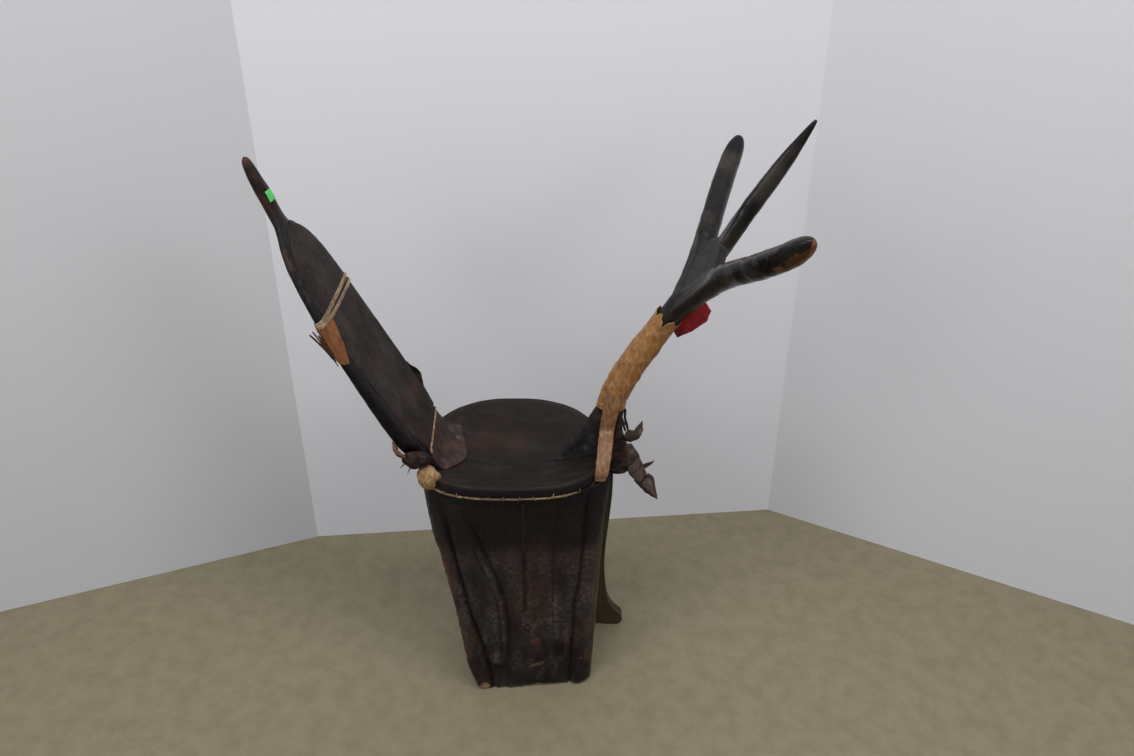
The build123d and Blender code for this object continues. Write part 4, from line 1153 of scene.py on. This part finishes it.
middle = smooth_line(MIDDLE_PRONG, 60)
fork_bundles = [carved_rod([on_fork(up, out) for up, out, thick in middle],
                           [thick for up, out, thick in middle])]
for side, rise in PRONG_RISE.items():
    prong = smooth_line(SIDE_PRONG, 70)
    fork_bundles.append(carved_rod([on_fork(up * rise, side * out) for up, out, thick in prong],
                                   [thick * PRONG_THICK[side] for up, out, thick in prong]))
palm_edge = [(14, -4), (24, 30), (40, 62), (62, 88), (90, 106), (68, 105), (46, 110), (28, 122), (9, 134)]
mirrored = [(-out, up) for out, up in reversed(palm_edge)]
palm_edge += [(out, up * PRONG_RISE[1]) for out, up in mirrored[:4]] + mirrored[4:]
fork_bundles.append([[on_fork(up, out, level) for out, up in palm_edge] for level in (-7.5, 7.6)])
neck_line = smooth_line([(*a, *b) for a, b in zip(NECK, NECK_HALF)], 50)


def neck_rows():
    """Rows of the bent neck, from the foot block into the palm."""
    rows = []
    for k in range(len(neck_line)):
        here = Vector(neck_line[k][:3])
        run = (Vector(neck_line[min(k + 1, len(neck_line) - 1)][:3])
               - Vector(neck_line[max(k - 1, 0)][:3])).normalized()
        across, above = Vector((0, 1, 0)), Vector((0, 1, 0)).cross(run)
        rows.append([here + across * neck_line[k][3] * math.cos(turn)
                     + above * neck_line[k][4] * math.sin(turn)
                     for turn in turns(48)])
    return rows


fork_bundles.append(neck_rows())
blank = joined("fork_blank", fork_bundles)
melt = blank.modifiers.new("melt", "REMESH")
melt.mode, melt.voxel_size = "VOXEL", 1.7 * MM
ease = blank.modifiers.new("ease", "SMOOTH")
ease.factor, ease.iterations = 0.5, 7
bpy.context.view_layer.update()
melted = blank.evaluated_get(bpy.context.evaluated_depsgraph_get())
fork_mesh = bpy.data.meshes.new_from_object(melted)
bpy.data.objects.remove(blank)
fork_mesh.name = "carved_fork"
fork_mesh.shade_smooth()
carved_fork = bpy.data.objects.new("carved_fork", fork_mesh)
bpy.context.collection.objects.link(carved_fork)


def fork_place(x, y, z):
    """Up the fork, out from its middle, and toward the rider."""
    from_base = Vector((x, y, z)) - FORK_BASE
    return from_base.dot(FORK_UP), from_base.y, from_base.dot(RIDER_SIDE)


def fork_wear(x, y, z):
    up, out, toward = fork_place(x, y, z)
    lower_front = (Vector((x, y, z)) - on_fork(231, -216)).dot(Vector((0.6, -0.35, -0.72)))
    tip = (soft(-out, 184, 212)
           * soft(lower_front + 9 * ripple(x, y, z, 8, 192) + 4 * ripple(x, y, z, 3, 198), -2, 9))
    above = up / PRONG_RISE[-1] - 118 - 0.72 * (-out - 91)
    ridge = (soft(-out, 96, 118) * (1 - soft(-out, 176, 196)) * soft(above, 1, 7) * soft(toward, -3, 3)
             * soft(ripple(x / 2, y / 5, z / 2, 9, 193), -0.5, 0.1))
    low_side = (0.55 * soft(-out, 150, 190) * soft(-toward, -2, 6)
                * soft(ripple(x / 2, y / 3, z, 9, 197), -0.1, 0.4))
    return min(0.95 * tip + 0.75 * ridge + low_side
               + 0.1 * soft(ripple(x / 2, y / 2, z / 2, 18, 195), 0.3, 0.6), 1)


def fork_gloss_and_groove_shade(x, y, z):
    """The prongs are polished by hands and the palm between them is dull. A black line of painted shade runs
    along the crotch where each side prong leaves the palm.
    """
    up, out, toward = fork_place(x, y, z)
    away = math.hypot(out, up - 62)
    # Painted shade: a black line in the crotch where each side prong leaves the palm.
    groove = (0.9 * bell(toward - 6, 4)
              * (bell(up - 82 - 0.45 * (abs(out) - 50), 3) * soft(abs(out), 34, 50)
                 * (1 - soft(abs(out), 84, 100))))
    return min(soft(away, 48, 82) + groove + 0.5 * (1 - soft(toward, -6, 2)), 1)


paint(carved_fork, wear=fork_wear, soot=fork_gloss_and_groove_shade, dust=patches(0.12, 24, 196, 0, 0.5))


def blackened(name, black, brown, worn, grain, glossy=0.19, strength=0.25):
    """Wood blackened by smoke and grease: glossy, and brown where it is rubbed through. Where painted shade
    and polish are given, it stays black and glossy; elsewhere it is greyer and duller.
    """
    def look(tree):
        figure = place(tree, hewn_wood, {"Light": brown, "Dark": black, "Grain": grain, "Cracks": 0.5})
        wear_here = put(tree, "Attribute", attribute_name="wear").outputs["Fac"]
        dust_here = put(tree, "Attribute", attribute_name="dust").outputs["Fac"]
        soot_here = put(tree, "Attribute", attribute_name="soot").outputs["Fac"]
        rubbed = tint(tree, spread(tree, figure["Height"], 0.3, 0.65),
                      tuple(0.4 * c for c in worn[:3]) + (1,), worn)
        bared = spread(tree, reckon(tree, "ADD", wear_here,
                                    reckon(tree, "MULTIPLY", figure["Height"], 0.5)), 0.55, 0.85)
        sooty = tint(tree, 0.6, figure["Colour"], black)
        colour = tint(tree, bared, sooty, rubbed)
        colour = tint(tree, reckon(tree, "MULTIPLY", dust_here, 0.2), colour, (0.1, 0.085, 0.072, 1))
        smears = put(tree, "TexNoise", {"Scale": 38.0, "Detail": 5.0, "Distortion": 0.7}).outputs[0]
        rough = reckon(tree, "ADD", spread(tree, smears, 0.35, 0.65, glossy - 0.04, glossy + 0.12),
                       reckon(tree, "MULTIPLY", bared, 0.25))
        # Where the third painted value is high (painted shade and polish) the wood stays black and glossy;
        # elsewhere it is greyer and duller.
        dull = tint(tree, soot_here, tint(tree, 0.6, colour, (0.0165, 0.0138, 0.0122, 1)), colour)
        rough = reckon(tree, "ADD", rough, spread(tree, soot_here, 0.0, 1.0, 0.3, 0.0))
        return {"Colour": dull, "Roughness": rough, "Height": figure["Height"]}
    return finish(name, look, strength, 0.0005, Specular_IOR_Level=0.19)


fork_black = blackened("blackened_wood", (0.0055, 0.0047, 0.0045, 1), (0.017, 0.0135, 0.0115, 1),
                       (0.17, 0.066, 0.026, 1), (20, 20, 6))
fit(carved_fork, fork_black, "black_wood", "pommel_fork")


# ---------------------------------------------------------------- foot and fin of the pommel
# The neck rises from a block at the front of the seat. A fin of wood runs back from it along
# the seat, and both are covered with black hide, drawn tight and creased.
foot_rows = []
for k in range(61):
    z = 398 + 124 * k / 60
    front = between([(398, 141), (404, 148), (444, 147), (469, 139), (520, 134)], z)
    back = between([(398, 120), (412, 112), (440, 104), (523, 103)], z)
    middle_x, half = (front + back) / 2, (front - back) / 2
    shut = min((k + 1) / 3, (62 - k) / 3, 1) ** 0.5
    row = []
    for turn in turns(72):
        c, s = math.cos(turn), math.sin(turn)
        fold = 1.1 * ripple(c * 16, s * 16, z / 2, 9, 200) + 0.6 * ripple(c * 16, s * 16, z, 4, 201)
        row.append((middle_x + (half * shut + fold) * math.copysign(abs(c) ** 0.6, c),
                    -2.5 + (14 * shut + fold) * math.copysign(abs(s) ** 0.6, s), z))
    foot_rows.append(row)
foot = skin("pommel_foot_block", foot_rows, closed=True, lids=True, wear=patches(0.35, 12, 202, 0, 0.5),
            dust=patches(0.4, 9, 203, -0.1, 0.5))
fit(foot, edge_hide, "black_wood", "pommel_foot")

fin_rows = []
for k in range(81):
    x = 29 + 78 * k / 80
    ridge = between([(29, 412), (34, 419), (68, 464), (101, 521), (107, 524)], x)
    half = between([(29, 1.6), (60, 5), (101, 10.5), (107, 11)], x)
    base = seat_height(x, 0) - 4
    middle_y = between([(29, -2), (107, -2.5)], x) + 0.8 * ripple(x, 0, 0, 22, 204)
    row = []
    for m in range(48):
        t = m / 47
        side = 2 * t - 1
        rise = 1 - abs(side) ** 7
        wide = (half * (1.05 - 0.5 * rise * (1 - abs(side)))
                * math.copysign(min(abs(side) * 1.6, 1) ** 0.8, side))
        z = base + (ridge - base) * (1 - abs(side) ** 2.6)
        crumple = 0.45 * ripple(x, side * 20, z, 8, 205) + 0.9 * bell(z - seat_height(x, 0) - 2, 2.5)
        row.append((x, middle_y + wide + crumple * math.copysign(1, side),
                    z + 0.5 * ripple(x, side * 9, 0, 7, 206)))
    fin_rows.append(row)
fin = skin("seat_fin", fin_rows, closed=True, lids=True, wear=patches(0.35, 16, 207, 0, 0.5),
           dust=patches(0.25, 10, 208, 0, 0.5))
fin_hide = hide(
    "fin_hide", (0.017, 0.0155, 0.0165, 1), (0.05, 0.035, 0.03, 1), (0.12, 0.11, 0.1, 1),
    (40, 40, 16), 0.4, 0.62, 0.5, 0.5, 0.0012,
)
fit(fin, fin_hide, "seat_leather", "pommel_fin")


# ---------------------------------------------------------------- neck wrap and stays
# A sleeve of rawhide was sewn wet round the neck and has shrunk hard. Its top edge is ragged,
# and its ends run down as two stays to the rim of the seat.
wrap_rawhide = rawhide("ochre_rawhide", (0.37, 0.185, 0.055, 1), (0.21, 0.088, 0.027, 1), (40, 40, 16),
                       0.35, 0.4, 0.0011)
NECK_TABLE = [(n, *a, *b) for n, (a, b) in enumerate(zip(NECK, NECK_HALF))]
WRAP_ROWS = 150
wrap_rows = []
for k in range(WRAP_ROWS + 1):
    row = []
    for m, turn in enumerate(turns(96)):
        ragged = (1.6 * ripple(math.cos(turn) * 9, math.sin(turn) * 9, 0, 4, 210)
                  + 0.8 * ripple(math.cos(turn) * 9, math.sin(turn) * 9, 0, 1.6, 211))
        notch = 3.4 * max(math.cos(turn - 3.6), 0) ** 10
        start = 1.02 + 0.16 * max(math.sin(turn), 0) + 0.03 * ragged - 0.3 * max(-math.sin(turn), 0)
        at = (start + (5.02 - start + 0.16 * ragged * (k / WRAP_ROWS) ** 6
                       - 0.06 * notch * (k / WRAP_ROWS) ** 4) * k / WRAP_ROWS)
        if m == 0:
            before, after = glide(NECK_TABLE, at - 0.05), glide(NECK_TABLE, at + 0.05)
            run = (Vector(after[:3]) - Vector(before[:3])).normalized()
        read = glide(NECK_TABLE, at)
        here = Vector(read[:3])
        above = Vector((0, 1, 0)).cross(run)
        wind = 0.6 * abs(math.sin(at * 3.1 + turn * 1.0)) ** 14
        lift = 2.5 + wind + 0.9 * ripple(here.x, math.cos(turn) * 16, here.z + math.sin(turn) * 16, 11, 212)
        lift += (0.45 * ripple(here.x, math.cos(turn) * 16, here.z + math.sin(turn) * 16, 4, 213)
                 + 1.6 * (k / WRAP_ROWS) ** 30)
        lift -= 1.7 * bell(turn - 4.2, 0.045) * soft(at, 1.0, 1.4)
        row.append(here + Vector((0, 1, 0)) * (read[3] + lift) * math.cos(turn)
                   + above * (read[4] + lift) * math.sin(turn))
    wrap_rows.append(row)
fit(thicken(skin("neck_sleeve", wrap_rows, closed=True), 1.3), wrap_rawhide, "rawhide_wrap", "neck_wrap")

stay_rawhide = rawhide("stay_rawhide", (0.245, 0.122, 0.047, 1), (0.12, 0.05, 0.018, 1), (40, 40, 16),
                       0.45, 0.4, 0.0011)
STAY = [
    (0, 134, -14.5, 562, 12), (1, 125.5, -19, 543, 13.5), (1.6, 120, -23, 524, 12.8),
    (2.3, 115.5, -25.5, 503, 11.5), (3, 113, -28.5, 487, 11), (4, 110, -50, 474.5, 11),
    (5, 107.5, -68, 461, 10.5), (6, 105, -78.5, 447, 10), (7, 102.5, -80, 434, 8),
]
for hand, side in HANDS:
    rows = []
    for k in range(81):
        x, y, z, half = glide(STAY, 7 * k / 80)
        nx, ny, nz, nh = glide(STAY, min(7 * k / 80 + 0.1, 7))
        px, py, pz, ph = glide(STAY, max(7 * k / 80 - 0.1, 0))
        run = Vector((nx - px, ny - py, nz - pz)).normalized()
        outward = Vector((1, 0, 0)).cross(run).normalized()
        if outward.y > 0:
            outward = -outward
        shift = 0 if side < 0 else 4
        row = []
        for m in range(21):
            s = m / 10 - 1
            bend = (1.8 * (1 - s * s) + 0.7 * ripple(k, s * 9, 0, 6, 214 + side)
                    + 0.35 * ripple(k, s * 9, 0, 2, 216))
            aside = half * (s + 0.06 * ripple(k, 0, m // 10, 4, 217))
            at = Vector((x, y + shift * soft(z, 470, 500), z)) + Vector((1, 0, 0)) * aside + outward * bend
            row.append((at.x, -side * at.y, at.z))
        rows.append(row)
    fit(thicken(skin(f"stay_{hand}", rows), 1.5), stay_rawhide, "rawhide_wrap", f"neck_stay_{hand}")


# ---------------------------------------------------------------- red tab and dried hide
# A tab of red hide is caught under the fork. At the front of the foot hang what is left of the
# outer cover: dry grey-brown leaves, curled and torn, and three loose strands.
def scrap(name, outline, level, curl, seed, thickness=1.0, **paints):
    """A torn leaf of hide with an outline in x and z, curled across."""
    shape = bmesh.new()
    face = shape.faces.new([shape.verts.new((x * MM, level * MM, z * MM)) for x, z in outline])
    bmesh.ops.triangulate(shape, faces=[face])
    bmesh.ops.subdivide_edges(shape, edges=shape.edges, cuts=7, use_grid_fill=True)
    middle_x = sum(x for x, z in outline) / len(outline)
    middle_z = sum(z for x, z in outline) / len(outline)
    size = max(math.hypot(x - middle_x, z - middle_z) for x, z in outline)
    for vertex in shape.verts:
        x, z = vertex.co.x / MM, vertex.co.z / MM
        away = ((x - middle_x) + 0.7 * (z - middle_z)) / size
        edge = 0.8 if vertex.is_boundary else 0
        x += edge * ripple(x, 0, z, 3.5, seed)
        z += edge * ripple(x, 5, z, 3.5, seed + 1)
        y = (level + curl * (away * away - 0.3) + 1.1 * ripple(x, 0, z, 11, seed + 2)
             + 0.5 * ripple(x, 0, z, 4, seed + 3))
        vertex.co = Vector((x, y, z)) * MM
    return thicken(paint(cast(name, shape), **paints), thickness, 0.0)


red_hide = hide(
    "red_hide", (0.3, 0.016, 0.022, 1), (0.12, 0.008, 0.01, 1), (0.45, 0.09, 0.08, 1),
    (40, 40, 40), 0.45, 0.65, 0.35, 0.4, 0.0009,
)
TAB_OUTLINE = [
    (212, 631), (204, 645), (214, 661), (231, 682), (247, 688), (257, 674), (252, 659), (232, 644),
]
tab = scrap("red_hide_tab", TAB_OUTLINE, -7, 4, 220, 2.4,
            wear=lambda x, y, z: soft(ripple(x, y, z, 10, 221), 0, 0.4) * 0.7 + soft(224 - x, 0, 12) * 0.6,
            dust=patches(0.3, 7, 222, 0.1, 0.5))
fit(tab, red_hide, "red_leather", "red_tab")

grey_hide = hide(
    "dried_grey_hide", (0.078, 0.056, 0.044, 1), (0.03, 0.02, 0.017, 1), (0.2, 0.155, 0.12, 1),
    (50, 50, 14), 0.55, 0.8, 0.7, 0.8, 0.0014,
)
# Name, the node it stands for, outline in x and z, level in y, and curl.
DRIED_LEAVES = (
    ("dried_fold", "hide_fold", [(139, 453), (152, 452), (165, 431), (146, 407), (132, 419)], -9, 7),
    ("dried_flap", "hide_flap",
     [(137, 456), (143, 474), (148, 478), (155, 477), (161, 484), (167, 491), (169, 476), (163, 462),
      (150, 454)], -8, 5),
    ("dried_cone", "hide_cone",
     [(143, 411), (150, 424), (163, 432), (171, 415), (177, 398), (171, 379), (162, 383), (153, 392)],
     -9, 9),
    ("dried_cone_lining", None,
     [(147, 410), (160, 427), (167, 412), (173, 398), (168, 384), (161, 386), (154, 395)], -12, 8),
    ("dried_barb", "hide_barb", [(168, 403), (170, 410), (176, 414), (190, 415.5), (181, 409), (174, 402)],
     -4, 3),
    ("dried_tip", "hide_tip",
     [(158, 384), (163, 377), (169, 381), (174, 392), (180, 398), (188, 391), (192, 370), (196, 349),
      (186, 355), (176, 362)], -8, 7),
    ("dried_tip_lining", None, [(168, 379), (179, 392), (185, 386), (192, 357), (180, 367)], -11, 6),
)
pale_grey_hide = hide(
    "pale_grey_hide", (0.15, 0.108, 0.085, 1), (0.06, 0.04, 0.033, 1), (0.26, 0.21, 0.17, 1),
    (50, 50, 14), 0.6, 0.85, 0.6, 0.8, 0.0014,
)
for k, (name, node, outline, level, curl) in enumerate(DRIED_LEAVES):
    leaf = scrap(name, outline, level, curl, 224 + 4 * k, 1.2,
                 wear=patches(0.7, 8, 260, 0.0, 0.4), dust=patches(0.6, 12, 261, -0.2, 0.5))
    fit(leaf, grey_hide if node else pale_grey_hide, "old_hide", *([node] if node else []))
STRAND_RADII = [2.8, 2.6, 2.1, 2.3, 1.6]
strands = [
    [(132, -8, 522), (136, -9, 510), (135, -8, 497), (139, -7, 485), (142, -6, 474)],
    [(135, -4, 520), (141, -3, 508), (141, -3, 495), (144, -3, 484), (147, -4, 470)],
    [(133, 2, 519), (138, 4, 505), (136, 5, 492), (141, 4, 478)],
]
strands = [thong(line, STRAND_RADII[:len(line)], 8, 0.9, 262) for line in strands]
loose_strands = joined("loose_strands", strands, wear=lambda x, y, z: 0.3, dust=lambda x, y, z: 0.2)
fit(loose_strands, edge_hide, "old_hide", "strap_ends")


# ---------------------------------------------------------------- room
# A pale floor and three pale standing panels, soft lamps overhead and at the sides, and the
# camera a little above the saddle on its right.
def plain(name, colour, mark, size):
    def look(tree):
        spot = put(tree, "TexCoord").outputs["Object"]
        cloud = cloudy(tree, spot, size, 7.0, Roughness=0.6)
        grit = cloudy(tree, spot, size * 14, 3.0)
        patchy = tint(tree, spread(tree, cloud, 0.35, 0.7, 0.0, 0.6), colour, mark)
        return {"Colour": patchy, "Roughness": spread(tree, cloud, 0.3, 0.7, 0.6, 0.8), "Height": grit}
    return finish(name, look, 0.08, 0.001)


def one_sided(material):
    """Lets a panel be seen through from behind, so that it doesn't hide the saddle's other side."""
    tree = material.node_tree
    clear = put(tree, "BsdfTransparent").outputs[0]
    behind = put(tree, "NewGeometry").outputs["Backfacing"]
    blend = put(tree, "MixShader", {0: behind, 1: tree.nodes["Principled BSDF"].outputs[0], 2: clear})
    tree.links.new(blend.outputs[0], tree.nodes["Material Output"].inputs["Surface"])
    return material


def slab(name, corners, material):
    shape = bpy.data.meshes.new(name)
    shape.from_pydata([Vector(c) for c in corners], [], [tuple(range(len(corners)))])
    thing = bpy.data.objects.new(name, shape)
    bpy.context.collection.objects.link(thing)
    shape.materials.append(material)


pale_floor = plain("pale_floor", (0.225, 0.195, 0.124, 1), (0.17, 0.146, 0.09, 1), 30.0)
slab("floor", ((-6, -5, 0), (6, -5, 0), (6, 6, 0), (-6, 6, 0)), pale_floor)
# The left and right panels get greyer copies of the middle panel's colour: painted shade, for the weaker
# light they stand in.
panel_white = one_sided(plain("panel_white", (0.72, 0.72, 0.765, 1), (0.68, 0.68, 0.72, 1), 0.8))
panel_pale = one_sided(plain("panel_pale", (0.675, 0.68, 0.715, 1), (0.63, 0.635, 0.665, 1), 0.8))
panel_grey = one_sided(plain("panel_grey", (0.6, 0.605, 0.63, 1), (0.55, 0.555, 0.58, 1), 0.8))
PANEL_TALL = 3
PANEL_FOLDS = ((-2.4, -0.46), (-0.46, 0.33), (0.485, 0.42), (2.6, -0.78))
for name, start, end, material in zip(("panel_left", "panel_middle", "panel_right"),
                                      PANEL_FOLDS, PANEL_FOLDS[1:],
                                      (panel_grey, panel_white, panel_pale)):
    slab(name, ((*start, 0), (*end, 0), (*end, PANEL_TALL), (*start, PANEL_TALL)), material)


def lamp(name, spot, aim, size, power, colour=(1, 1, 1)):
    light = bpy.data.lights.new(name, "AREA")
    light.shape, light.size, light.size_y = "RECTANGLE", *size
    light.energy, light.color = power, colour
    thing = bpy.data.objects.new(name, light)
    thing.location = spot
    thing.rotation_euler = (Vector(aim) - Vector(spot)).to_track_quat("-Z", "Y").to_euler()
    bpy.context.collection.objects.link(thing)


lamp("overhead", (0.1, -0.9, 2.9), (0, 0, 0.4), (2.2, 0.7), 46, (1, 0.985, 0.96))
lamp("left_fill", (-1.8, -1.8, 1.9), (0, 0, 0.5), (1.2, 1.2), 16, (0.94, 0.97, 1))
lamp("right_fill", (1.9, -1.6, 1.7), (0, 0, 0.5), (1.0, 1.0), 9)
world = bpy.data.worlds.new("room_air")
world.use_nodes = True
world.node_tree.nodes["Background"].inputs["Color"].default_value = (0.86, 0.88, 0.95, 1)
world.node_tree.nodes["Background"].inputs["Strength"].default_value = 0.42
bpy.context.scene.world = world

lens = bpy.data.cameras.new("camera")
lens.lens, lens.sensor_width = 30.16, 36
camera = bpy.data.objects.new("camera", lens)
camera.location = (0.054, -1.216, 1.250)
camera.rotation_euler = (math.radians(60.5), 0, 0)
bpy.context.collection.objects.link(camera)
bpy.context.scene.camera = camera
bpy.context.scene.view_settings.view_transform = "Standard"
